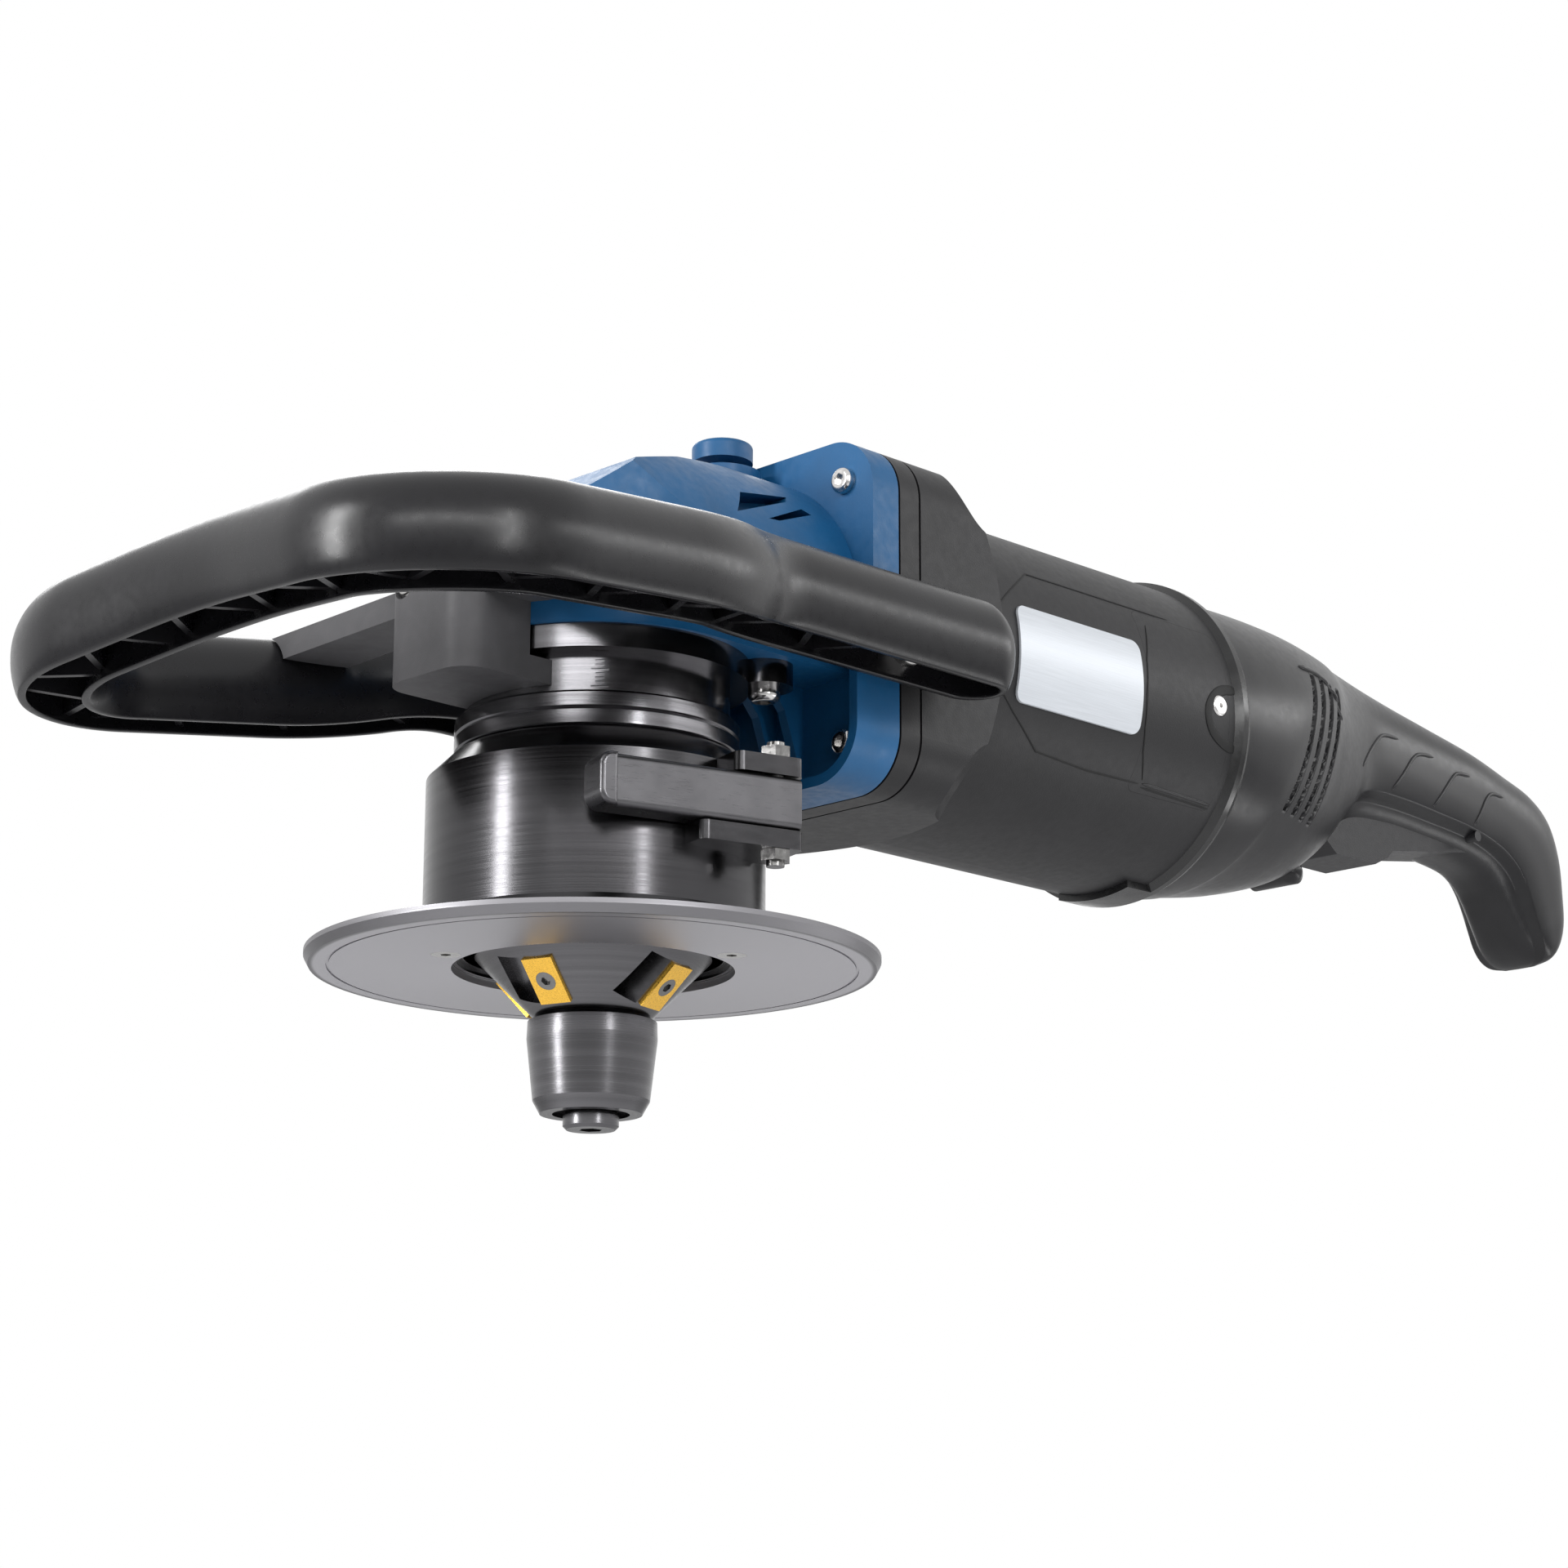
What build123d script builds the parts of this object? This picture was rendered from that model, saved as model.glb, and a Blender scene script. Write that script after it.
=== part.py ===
from build123d import *
import math
import os

# Frame: the origin is the centre of the guide plate's working face, on the spindle axis.
# +Z runs up the spindle, +X runs back along the motor, and the model is in millimetres.

# Fits and cuts
overrun = 1.0
running = 0.04
seat_gap = 0.05
free_gap = 0.3

# Guide plate
plate_r = 82.5
plate_face_r = 75.3
plate_hole_r = 40.6
plate_rim_low = 2.4
plate_rim_high = 3.8
plate_bevel = 1.3
plate_groove = 0.8
plate_groove_depth = 0.5
plate_slope_r = 62.0
plate_slope_z = 6.2
plate_fillet_r = 51.5
barrel_low = 8.2
plate_screw_count = 3
plate_screw_ring_r = 46.2
plate_screw_head_r = 4.2
plate_screw_head_depth = 2.0
plate_screw_r = 2.0
plate_screw_length = 15.0
plate_screw_angle = 45.0
plate_screw_socket_r = 1.6
plate_screw_socket_depth = 1.2

# Guide barrel and depth ring
barrel_r = 49.2
barrel_fillet_top = 12.5
barrel_shoulder_low = 54.1
barrel_shoulder_high = 61.8
depth_ring_r = 41.5
depth_ring_low = 62.1
depth_ring_high = 72.3
depth_ring_groove = 0.6
depth_ring_chamfer = 0.7
barrel_cavity_r = 42.5
barrel_cavity_high = 18.0
chip_ring_r = 42.2
chip_ring_bore_r = 37.4
chip_ring_low = 2.2
chip_ring_step = 1.6
chip_ring_step_r = 39.2

# Neck sleeve and bearing flange
neck_r = 38.6
neck_low = 24.0
neck_high = 84.0
neck_bore_r = 31.0
neck_seat_low = 66.0
neck_web_low = 60.0
neck_mark_count = 9
neck_mark_depth = 0.35
neck_mark_width = 0.6
neck_mark_pitch = 1.25
neck_mark_length = 5.0
neck_mark_low = 73.6
neck_mark_angle = 229.0
flange_r = 44.5
flange_high = 91.0
flange_ear_r = 8.5
flange_ear_ring_r = 48.5
flange_ear_angles = (45.0, 315.0)
flange_screw_r = 2.9
flange_screw_head_r = 4.8
flange_screw_head = 4.2
flange_screw_reach = 14.0
hex_socket_share = 0.5

# Spindle, bearings and gear pair
spindle_seat_r = 10.0
spindle_collar_r = 15.0
spindle_collar_low = 20.0
spindle_collar_high = 26.0
spindle_arbor_r = 8.0
spindle_arbor_low = 2.0
spindle_gear_r = 8.5
spindle_top_r = 6.0
spindle_top = 133.0
lower_bearing_r = 21.0
lower_bearing_width = 12.0
upper_bearing_r = 16.0
upper_bearing_low = 121.5
upper_bearing_width = 10.0
bearing_race = 3.2
bearing_groove_depth = 0.9
motor_z = 111.6
gear_module = 1.25
crown_teeth = 48
pinion_teeth = 12
gear_backlash = 0.34
gear_face = 8.0
tooth_top_share = 0.8
tooth_root_share = 1.15
pressure_angle = 20.0
crown_low = 92.5
crown_hub_r = 14.0
crown_hub_high = 104.5
pinion_bore_r = 4.5

# Cutter head and inserts
cutter_low = -14.4
cutter_low_r = 16.4
cutter_r = 34.0
cutter_mid = 7.0
cutter_step_r = 24.0
cutter_high = 14.0
cutter_bore_r = 8.04
insert_count = 4
insert_first_angle = 196.0
insert_width = 9.8
insert_length = 15.4
insert_thick = 4.0
insert_proud = 0.7
insert_edge = 0.8
insert_screw_r = 1.9
insert_screw_head_r = 3.0
insert_screw_head_depth = 2.0
insert_screw_length = 9.0
insert_mid_r = 24.2
gullet_width = 7.5
gullet_length = 16.0
gullet_depth = 7.0
gullet_tilt = 14.0

# Pilot roller
pilot_r = 18.5
pilot_bulge_r = 18.7
pilot_high = -15.1
pilot_bulge_z = -20.0
pilot_taper_r = 16.7
pilot_taper_z = -37.6
pilot_low_r = 14.6
pilot_low = -41.4
pilot_bearing_r = 11.0
pilot_axle_r = 5.0
pilot_bearing_low = -38.0
pilot_bearing_width = 8.0
pilot_bearing_gap = 3.6
pilot_lip_r = 8.6
pilot_head_r = 8.0
pilot_head_low = -45.8
pilot_head_high = -41.8
pilot_head_chamfer = 1.0
pilot_socket_r = 3.4
pilot_socket_depth = 2.4
pilot_washer_r = 7.4
pilot_axle_top = 16.0

# Clamp lever, its lugs and its pin; the lever lies along a tangent of the barrel
lever_turn = -15.0
lever_inner = 50.4
lever_thick = 9.0
lever_front = 29.0
lever_rear = 34.5
lever_low = 33.4
lever_high = 48.4
lever_edge = 2.0
lever_pad = 5.5
lever_pad_rise = 1.4
lever_nose = 4.0
lever_pivot_x = 28.5
lever_pivot_y = 55.0
lever_pin_r = 2.6
lug_front = 3.0
lug_upper_front = 14.0
lug_rear = 35.5
lug_outer = 59.4
lug_thick = 5.4
lug_round = 5.0
nut_r = 4.6
nut_high = 3.2
pin_end = 1.4

# Gear housing
housing_r = 46.0
housing_low = 91.0
housing_room_r = 36.0
housing_room_high = 120.0
housing_skirt = 5.0
housing_front_top = 126.0
housing_crown_x = 2.0
housing_crown_top = 148.5
housing_rear_top = 160.5
housing_edge = 7.0
housing_round = 2.0
housing_tunnel_r = 23.0
housing_tunnel_x = 22.0
housing_tunnel_end = 56.0
mount_face_x = 71.0
mount_front_x = 60.0
mount_rim_x = 53.0
mount_half = 54.0
mount_round = 17.0
mount_rim = 3.2
mount_screw_out = 42.6
mount_screw_up = 40.6
mount_screw_r = 2.9
mount_screw_head_r = 4.0
mount_screw_head = 3.0
mount_screw_socket_r = 2.0
mount_screw_socket_depth = 1.4
mount_screw_reach = 26.0
rib_count = 2
rib_thick = 3.2
rib_pitch = 11.0
rib_low = 62.0
rib_first_y = 12.0
rib_nose = 8.0
vent_span = 36.0
vent_x = 14.0
vent_z = 131.6
vent_depth = 20.0
vent_outline_shares = (
    # corners of the two wedge-shaped vents, along X and up, as shares of their span
    ((0.0, 0.0), (0.16, 0.235), (0.80, 0.370), (0.74, 0.300)),
    ((0.37, 0.030), (0.89, 0.268), (0.98, 0.232), (0.50, 0.042)),
)

# Spindle lock
lock_x = 49.5
lock_button_r = 9.4
lock_button_high = 171.4
lock_button_low = 165.4
lock_button_edge = 1.4
lock_boss_r = 12.0
lock_boss_high = 162.0
lock_travel = 3.0
lock_pin_r = 3.0
lock_pin_low = 127.3
lock_flange_r = 5.6
lock_flange_z = 141.0
lock_flange_thick = 1.6
lock_spring_r = 4.6
lock_spring_wire = 0.55
lock_spring_turns = 6
lock_collar_r = 15.0
lock_collar_width = 8.0
lock_notch_count = 4
lock_notch_depth = 4.0
lock_notch_width = 7.0

# Motor shield and motor housing
shield_front_x = 71.0
shield_rear_x = 80.7
shield_groove = 0.8
shield_web = 4.0
shield_window_count = 6
shield_window_r = 7.0
shield_window_ring_r = 34.0
body_r = 53.9
body_wall = 3.4
body_rear_x = 232.0
block_rear_x = 118.0
block_slope_x = 104.0
block_slope_r = 71.0
scoop_r = 22.0
scoop_x = 119.0
motor_bearing_r = 16.0
motor_bearing_x = 58.0
motor_bearing_width = 10.0
rear_bearing_r = 13.0
rear_bearing_x = 214.0
rear_bearing_width = 9.0
rear_web_x = 210.0
rear_web_width = 5.0
rear_web_slot_r = 8.0
rear_web_slot_ring_r = 36.0
rear_web_slot_count = 6

# Armature
shaft_r = 6.0
shaft_rear_r = 5.0
shaft_rear_x = 226.0
fan_x = 84.0
fan_width = 13.0
fan_r = 46.0
fan_hub_r = 15.0
fan_disc = 2.4
fan_blade = 2.2
fan_blade_count = 11
fan_blade_in_r = 22.0
core_x = 108.0
core_length = 70.0
core_r = 27.0
core_slot_count = 12
core_slot_width = 3.0
core_slot_depth = 8.0
coil_length = 9.0
coil_r = 24.0
coil_edge = 3.0
commutator_x = 189.0
commutator_length = 20.0
commutator_r = 16.0
commutator_bars = 24
commutator_slot = 0.7
commutator_slot_depth = 1.4
armature_gap = 0.6

# Stator, brushes
stator_r = body_r - body_wall - seat_gap
stator_pole_half = 26.0
stator_yoke = 8.0
field_coil_r = 43.0
field_coil_bore_r = 30.0
field_coil_length = 9.0
brush_half_x = 4.0
brush_half_z = 3.2
brush_length = 20.0
brush_gap = 0.3
holder_wall = 1.6
holder_in_r = 20.0
holder_out_r = body_r - body_wall - free_gap
brush_spring_r = 2.4
brush_spring_turns = 5
brush_spring_wire = 0.4
spring_gap = 0.35

# Side covers over the brushes, and the rating plate
cover_front_x = 187.5
cover_rear_x = 229.0
cover_low = 79.5
cover_high = 139.0
cover_thick = 2.0
cover_round = 3.0
cover_screw_x = 224.0
cover_screw_z = 112.5
cover_screw_r = 1.8
cover_screw_head_r = 3.6
cover_screw_head = 1.8
cover_screw_reach = 7.0
cover_screw_sink = 1.2
cover_boss_r = 5.5
plate_front_x = 125.0
plate_rear_x = 184.0
plate_low_z = 95.0
plate_high_z = 126.0
plate_thick = 0.8
plate_corner = 3.5

# Damping ring
damper_front_x = 232.0
damper_rear_x = 241.0
damper_r = 56.0
damper_bore_r = 47.0
damper_edge = 2.2
damper_lip_half = 15.0
damper_lip_front_x = 222.0
damper_lip_thick = 2.2

# Rear handle, cut into a left and a right shell on the Y = 0 plane
grip_wall = 3.2
handle_front_x = 241.0
handle_length = 263.0
handle_half = 52.4
grip_station_shares = (
    # along the length, half width, low, high, corner rounding
    (0.0, 1.0, -0.992, 0.992, 0.96),
    (0.110, 0.966, -0.943, 1.004, 0.92),
    (0.224, 0.821, -0.813, 0.989, 0.84),
    (0.323, 0.592, -0.603, 0.935, 0.74),
    (0.422, 0.429, -0.155, 0.866, 0.70),
    (0.605, 0.374, -0.193, 0.714, 0.72),
    (0.776, 0.374, -0.279, 0.565, 0.72),
    (0.840, 0.363, -0.28, 0.462, 0.72),
)
tail_half = 18.6
tail_round = 7.0
tail_point_shares = (
    # along the length and up from the motor axis, down the rear hook from its upper front
    (0.779, 0.504),
    (0.840, 0.447),
    (0.894, 0.342),
    (0.928, 0.151),
    (0.943, -0.164),
    (0.937, -0.489),
    (0.916, -0.756),
    (0.871, -0.908),
    (0.814, -0.956),
    (0.772, -0.889),
    (0.755, -0.698),
    (0.749, -0.450),
    (0.726, -0.240),
)
tail_hollow_inset = 4.2
tail_nose_share = 0.821
tail_rear_share = 0.944
tail_corner = 8.0
handle_screw_shares = (
    # along the length and up from the motor axis
    (0.103, 0.733),
    (0.103, -0.679),
    (0.293, 0.637),
    (0.757, 0.313),
    (0.875, -0.580),
)
handle_screw_r = 1.9
handle_screw_head_r = 3.6
handle_screw_head = 2.6
handle_boss_r = 5.2
handle_screw_half = 14.0
vent_slot_count = 4
vent_slot_x = 281.0
vent_slot_pitch = 7.2
vent_slot_width = 3.0
vent_slot_low = 88.0
vent_slot_high = 139.0
vent_slot_lean = 9.0
foot_x = 322.0
foot_z = 80.0
foot_r = 4.6
foot_half = 12.0

# Switch, paddle and electronics
switch_front_x = 352.0
switch_rear_x = 392.0
switch_half = 15.4
switch_low = 116.0
switch_high = 141.0
switch_plunger_r = 3.4
switch_plunger_low = 113.7
paddle_front_x = 339.0
paddle_rear_x = 428.0
paddle_half = 11.0
paddle_pivot_x = 424.0
paddle_pivot_z = 108.5
paddle_pin_r = 2.0
paddle_hub_r = 4.6
paddle_top_front = 111.0
paddle_top_rear = 112.5
paddle_low_front = 93.6
paddle_step_x = 376.0
paddle_step_z = 96.4
paddle_bulge_z = 89.6
paddle_edge = 1.4
paddle_slot_gap = 0.6
paddle_pin_reach = 17.8
paddle_room = 3.4
control_front_x = 262.0
control_rear_x = 300.0
control_half = 20.0
control_low = 100.0
control_high = 144.6
control_fin_count = 6
control_fin_depth = 4.0
inlet_z = 108.0
inlet_r = 8.0
inlet_bore_r = 4.2
inlet_length = 16.0
inlet_collar_r = 10.0
inlet_collar = 2.6

# Bow handle at the front, written as half of its centre line
bow_half_width = 12.5
bow_height = 28.2
bow_foot_share = 0.86
bow_wall = 3.0
bow_rear_x = 86.0
bow_rear_y = 70.0
bow_rear_low = 86.5
bow_waist_x = -6.0
bow_hip_x = -35.0
bow_hip_y = 86.5
bow_hip_low = 80.0
bow_corner_x = -147.0
bow_corner_y = 101.5
bow_corner_low = 65.8
bow_front_x = -133.5
bow_front_low = 77.5
bow_waist_round = 45.0
bow_hip_round = 95.0
bow_corner_round = 38.0
bow_front_round = 150.0
bow_rib = 2.2
bow_rib_depth = 16.0
bow_rib_inset = 3.0
bow_rib_pitch = 17.0
bow_rib_turn = 33.0
bow_boss_r = 9.0
bow_boss_x = 66.0
bow_boss_z = 98.4

# Bracket between the bow and the machine
bracket_front_x = -66.0
bracket_rear_x = -40.0
bracket_half = 18.5
bracket_low = 74.7
bracket_arm_high = 81.8
bracket_high = 113.0
bracket_edge = 9.0
spoke_low = 97.2
spoke_height = 7.6
spoke_front_x = -60.0
spoke_rear_x = -40.0
spoke_end_x = -56.0
spoke_arm_y = 84.0
bracket_screw_z = 104.0
bracket_screw_y = 9.5
bracket_screw_r = 3.0
bracket_screw_head_r = 5.0
bracket_screw_head = 5.0
bracket_screw_reach = 12.0
side_bolt_r = 4.0
side_bolt_head_r = 6.5
side_bolt_head = 5.0
side_bolt_reach = 11.0

full_turn = 360.0
standing = (Align.CENTER, Align.CENTER, Align.MIN)


def disc(radius, low, high):
    """Round bar on the spindle axis between two heights."""
    return Pos(0, 0, low) * Cylinder(radius, high - low, align=standing)


def ring(radius, bore, low, high):
    """Round tube on the spindle axis between two heights."""
    return disc(radius, low, high) - disc(bore, low - overrun, high + overrun)


def bar_x(radius, front, rear, y=0, z=motor_z):
    """Round bar along X, on the motor axis unless told otherwise."""
    place = Pos(front, y, z) * Rot(0, 90, 0)
    return place * Cylinder(radius, rear - front, align=standing)


def ring_x(radius, bore, front, rear):
    """Round tube on the motor axis."""
    return bar_x(radius, front, rear) - bar_x(bore, front - overrun, rear + overrun)


def bar_y(radius, x, y_low, y_high, z):
    """Round bar along Y."""
    place = Pos(x, y_low, z) * Rot(-90, 0, 0)
    return place * Cylinder(radius, y_high - y_low, align=standing)


def block(x_low, x_high, y_low, y_high, z_low, z_high):
    """Box between two corners."""
    low_corner = (Align.MIN, Align.MIN, Align.MIN)
    return Pos(x_low, y_low, z_low) * Box(x_high - x_low, y_high - y_low, z_high - z_low, align=low_corner)


def turned(points):
    """Solid turned about the spindle axis from (radius, height) points."""
    profile = make_face(Plane.XZ * Polyline(*points, close=True))
    return revolve(profile, Axis.Z)


def turned_x(points):
    """Solid turned about the motor axis from (x, radius) points."""
    raised = [(x, motor_z + radius) for x, radius in points]
    profile = make_face(Plane.XZ * Polyline(*raised, close=True))
    return revolve(profile, Axis((0, 0, motor_z), (1, 0, 0)))


def side_plate(points, y_low, y_high):
    """Plate cut from an (x, z) outline and given its thickness along Y."""
    outline = make_face(Plane.XZ * Polyline(*points, close=True))
    return Pos(0, (y_low + y_high) / 2, 0) * extrude(outline, (y_high - y_low) / 2, both=True)


def rounded_square_x(front, rear, half, round_r):
    """Square block with rounded long edges, on the motor axis."""
    plane = Plane((front, 0, motor_z), x_dir=(0, 1, 0), z_dir=(1, 0, 0))
    return extrude(plane * RectangleRounded(2 * half, 2 * half, round_r), rear - front)


def ball_bearing(radius, bore, width):
    """Ball bearing on the Z axis with a seal groove in both faces."""
    groove = bearing_groove_depth
    body = ring(radius, bore, 0, width)
    seal = ring(radius - bearing_race, bore + bearing_race, -overrun, groove)
    other_seal = ring(radius - bearing_race, bore + bearing_race, width - groove, width + overrun)
    return body - seal - other_seal


def ball_bearing_x(radius, bore, width, x):
    """Ball bearing on the motor axis."""
    return Pos(x, 0, motor_z) * Rot(0, 90, 0) * ball_bearing(radius, bore, width)


def pan_screw(shank_r, head_r, head, reach, socket_r, socket_depth):
    """Screw along -Z with its head's seat on the origin and a round-lobed socket in the head."""
    shank = Pos(0, 0, -reach) * Cylinder(shank_r, reach, align=standing)
    cap = Cylinder(head_r, head, align=standing)
    cap = fillet(cap.edges().group_by(Axis.Z)[-1], head / 2)
    socket = Pos(0, 0, head) * extrude(RegularPolygon(socket_r, 6), -socket_depth)
    return shank + cap - socket


def make_guide_plate():
    """Round plate with its bevelled rim, stepped hole and sloping upper side."""
    groove_out = plate_face_r + plate_groove
    points = [
        (plate_hole_r, 0),
        (plate_face_r, 0),
        (plate_face_r, plate_groove_depth),
        (groove_out, plate_groove_depth),
        (groove_out, 0),
        (plate_r - plate_bevel, 0),
        (plate_r, plate_rim_low),
        (plate_r, plate_rim_high),
        (plate_slope_r, plate_slope_z),
        (plate_fillet_r, barrel_low),
        (chip_ring_r + seat_gap, barrel_low),
        (chip_ring_r + seat_gap, chip_ring_low),
        (plate_hole_r, chip_ring_low),
    ]
    plate = turned(points)
    for place in plate_screw_places():
        depth = plate_screw_head_depth + seat_gap
        sink = Cone(plate_screw_head_r + seat_gap, plate_screw_r + seat_gap, depth, align=standing)
        hole = disc(plate_screw_r + seat_gap, -overrun, barrel_low + overrun)
        plate -= place * (sink + hole)
    return plate


def plate_screw_places():
    """Places of the countersunk screws under the plate."""
    step = full_turn / plate_screw_count
    return [
        Rot(0, 0, plate_screw_angle + i * step) * Pos(plate_screw_ring_r, 0, 0)
        for i in range(plate_screw_count)
    ]


def make_plate_screws():
    """Countersunk screws, heads level with the working face."""
    head = Cone(plate_screw_head_r, plate_screw_r, plate_screw_head_depth, align=standing)
    shank = disc(plate_screw_r, plate_screw_head_depth, plate_screw_length)
    socket = extrude(RegularPolygon(plate_screw_socket_r, 6), plate_screw_socket_depth)
    screw = head + shank - socket
    return Compound([place * screw for place in plate_screw_places()])


def make_chip_ring():
    """Stepped ring that lines the hole of the guide plate."""
    step_high = chip_ring_low + chip_ring_step
    points = [
        (chip_ring_step_r, chip_ring_low + seat_gap),
        (chip_ring_r, chip_ring_low + seat_gap),
        (chip_ring_r, barrel_low - seat_gap),
        (chip_ring_bore_r, barrel_low - seat_gap),
        (chip_ring_bore_r, step_high),
        (chip_ring_step_r, step_high),
    ]
    return turned(points)


def lever_frame(shape):
    """Turns a shape drawn along X at negative Y to its place on the barrel's tangent."""
    return Rot(0, 0, lever_turn) * shape


def lug_plate(front, low, high):
    """One lug of the lever's hinge, with a rounded outer corner."""
    face = make_face(Polyline(
        (front, -lug_outer),
        (lug_rear, -lug_outer),
        (lug_rear, -neck_r),
        (front, -neck_r),
        close=True,
    ))
    face = fillet(face.vertices().group_by(Axis.Y)[0], lug_round / 2)
    return Pos(0, 0, low) * extrude(face, high - low)


def make_guide_barrel():
    """Turned barrel that slides on the neck and carries the plate and the lever's lugs."""
    bore = neck_r + running
    points = [
        (bore, barrel_cavity_high),
        (barrel_cavity_r, barrel_cavity_high),
        (barrel_cavity_r, barrel_low),
        (plate_fillet_r, barrel_low),
        ((plate_fillet_r + barrel_r) / 2, (barrel_low * 3 + barrel_fillet_top) / 4),
        (barrel_r, barrel_fillet_top),
        (barrel_r, barrel_shoulder_low),
        (depth_ring_r, barrel_shoulder_high),
        (bore, barrel_shoulder_high),
    ]
    barrel = turned(points)
    lower = lug_plate(lug_front, lever_low - free_gap - lug_thick, lever_low - free_gap)
    upper = lug_plate(lug_upper_front, lever_high + free_gap, lever_high + free_gap + lug_thick)
    lugs = lever_frame(lower + upper)
    pin_hole = disc(lever_pin_r + seat_gap, 0, barrel_shoulder_high)
    pin_hole = lever_frame(Pos(lever_pivot_x, -lever_pivot_y, 0) * pin_hole)
    core = disc((barrel_r + bore) / 2, barrel_low, barrel_shoulder_high)
    barrel = barrel + (lugs - core) - pin_hole
    for place in plate_screw_places():
        barrel -= place * disc(plate_screw_r + seat_gap, 0, plate_screw_length + overrun)
    return barrel


def make_lever_pin():
    """Hinge pin of the lever with a nut at each end."""
    low = lever_low - free_gap - lug_thick - nut_high
    high = lever_high + free_gap + lug_thick + nut_high
    pin = disc(lever_pin_r, low - pin_end, high + pin_end)
    nut = extrude(RegularPolygon(nut_r, 6), nut_high - seat_gap)
    pin = pin + Pos(0, 0, low) * nut + Pos(0, 0, high - nut_high + seat_gap) * nut
    return lever_frame(Pos(lever_pivot_x, -lever_pivot_y, 0) * pin)


def make_clamp_lever():
    """Flat lever with a thumb pad at one end and an eccentric eye at the other."""
    outer = lever_inner + lever_thick
    bar = block(-lever_front, lever_rear, -outer, -lever_inner, lever_low, lever_high)
    bar = fillet(bar.edges().filter_by(Axis.X).group_by(Axis.Y)[0], lever_edge)
    nose = block(
        -lever_front - overrun, lever_nose - lever_front, -outer - overrun, -lever_inner + overrun,
        lever_low - overrun, lever_high + overrun,
    )
    pad_out = outer + lever_pad_rise
    pad = block(-lever_front, lever_pad - lever_front, -pad_out, -lever_inner, lever_low, lever_high)
    pad = fillet(pad.edges().filter_by(Axis.Y).group_by(Axis.X)[0], lever_nose)
    pad = fillet(pad.faces().sort_by(Axis.Y)[0].edges(), lever_pad_rise)
    hole = Pos(lever_pivot_x, -lever_pivot_y, 0) * disc(lever_pin_r + running, 0, barrel_shoulder_high)
    clear = disc(barrel_r + free_gap, barrel_low, barrel_shoulder_high)
    return lever_frame((bar - nose + pad) - hole - clear)


def make_depth_ring():
    """Ring on the neck's thread that carries the barrel up and down."""
    bore = neck_r + running
    edge = depth_ring_chamfer
    middle = (depth_ring_low + depth_ring_high) / 2
    points = [
        (bore, depth_ring_low),
        (depth_ring_r - edge, depth_ring_low),
        (depth_ring_r, depth_ring_low + edge),
        (depth_ring_r, middle - depth_ring_groove),
        (depth_ring_r - depth_ring_groove, middle),
        (depth_ring_r, middle + depth_ring_groove),
        (depth_ring_r, depth_ring_high - edge),
        (depth_ring_r - edge, depth_ring_high),
        (bore, depth_ring_high),
    ]
    return turned(points)


def make_neck_sleeve():
    """Fixed steel neck with the lower bearing's seat and a plain scale cut in its near side."""
    sleeve = ring(neck_r, neck_bore_r, neck_low, neck_high)
    web = ring(neck_r - overrun, lower_bearing_r - bearing_race, neck_web_low, neck_seat_low)
    seat_high = neck_seat_low + lower_bearing_width
    seat = ring(neck_r - overrun, lower_bearing_r + seat_gap, neck_seat_low, seat_high)
    sleeve = sleeve + web + seat
    for i in range(neck_mark_count):
        reach = neck_mark_length if i % 4 == 0 else neck_mark_length / 2
        mark = block(
            neck_r - neck_mark_depth, neck_r + overrun, -reach / 2, reach / 2,
            neck_mark_low + i * neck_mark_pitch, neck_mark_low + i * neck_mark_pitch + neck_mark_width,
        )
        sleeve -= Rot(0, 0, neck_mark_angle) * mark
    return sleeve


def ear_places():
    """Places of the bearing flange's ears."""
    return [Rot(0, 0, angle) * Pos(flange_ear_ring_r, 0, 0) for angle in flange_ear_angles]


def make_bearing_flange():
    """Steel plate between the neck and the gear housing, with an ear for each screw."""
    plate = disc(flange_r, neck_high, flange_high)
    for place in ear_places():
        plate += place * disc(flange_ear_r, neck_high, flange_high)
    plate -= disc(neck_bore_r, neck_high - overrun, flange_high + overrun)
    for place in ear_places():
        plate -= place * disc(flange_screw_r + seat_gap, neck_high - overrun, flange_high + overrun)
    return plate


def make_flange_screws():
    """Socket screws that hold the flange under the gear housing."""
    socket = flange_screw_head * hex_socket_share
    screw = pan_screw(
        flange_screw_r, flange_screw_head_r, flange_screw_head, flange_screw_reach,
        flange_screw_head_r * hex_socket_share, socket,
    )
    turned_over = Pos(0, 0, neck_high) * Rot(180, 0, 0) * screw
    return Compound([place * turned_over for place in ear_places()])


def make_lower_bearing():
    """Ball bearing low in the neck."""
    bearing = ball_bearing(lower_bearing_r, spindle_seat_r + running, lower_bearing_width)
    return Pos(0, 0, neck_seat_low) * bearing


def make_upper_bearing():
    """Ball bearing at the spindle's top end."""
    bearing = ball_bearing(upper_bearing_r, spindle_top_r + running, upper_bearing_width)
    return Pos(0, 0, upper_bearing_low) * bearing


def make_spindle():
    """Stepped spindle with a collar that the cutter head is drawn against."""
    seat_top = neck_seat_low + lower_bearing_width
    shaft = disc(spindle_arbor_r, spindle_arbor_low, spindle_collar_low)
    shaft += disc(spindle_collar_r, spindle_collar_low, spindle_collar_high)
    shaft += disc(spindle_seat_r, spindle_collar_high, seat_top)
    shaft += disc(spindle_gear_r, seat_top, crown_hub_high)
    shaft += disc(spindle_top_r, crown_hub_high, spindle_top)
    return shaft - disc(pilot_axle_r + seat_gap, spindle_arbor_low - overrun, pilot_axle_top)


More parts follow.
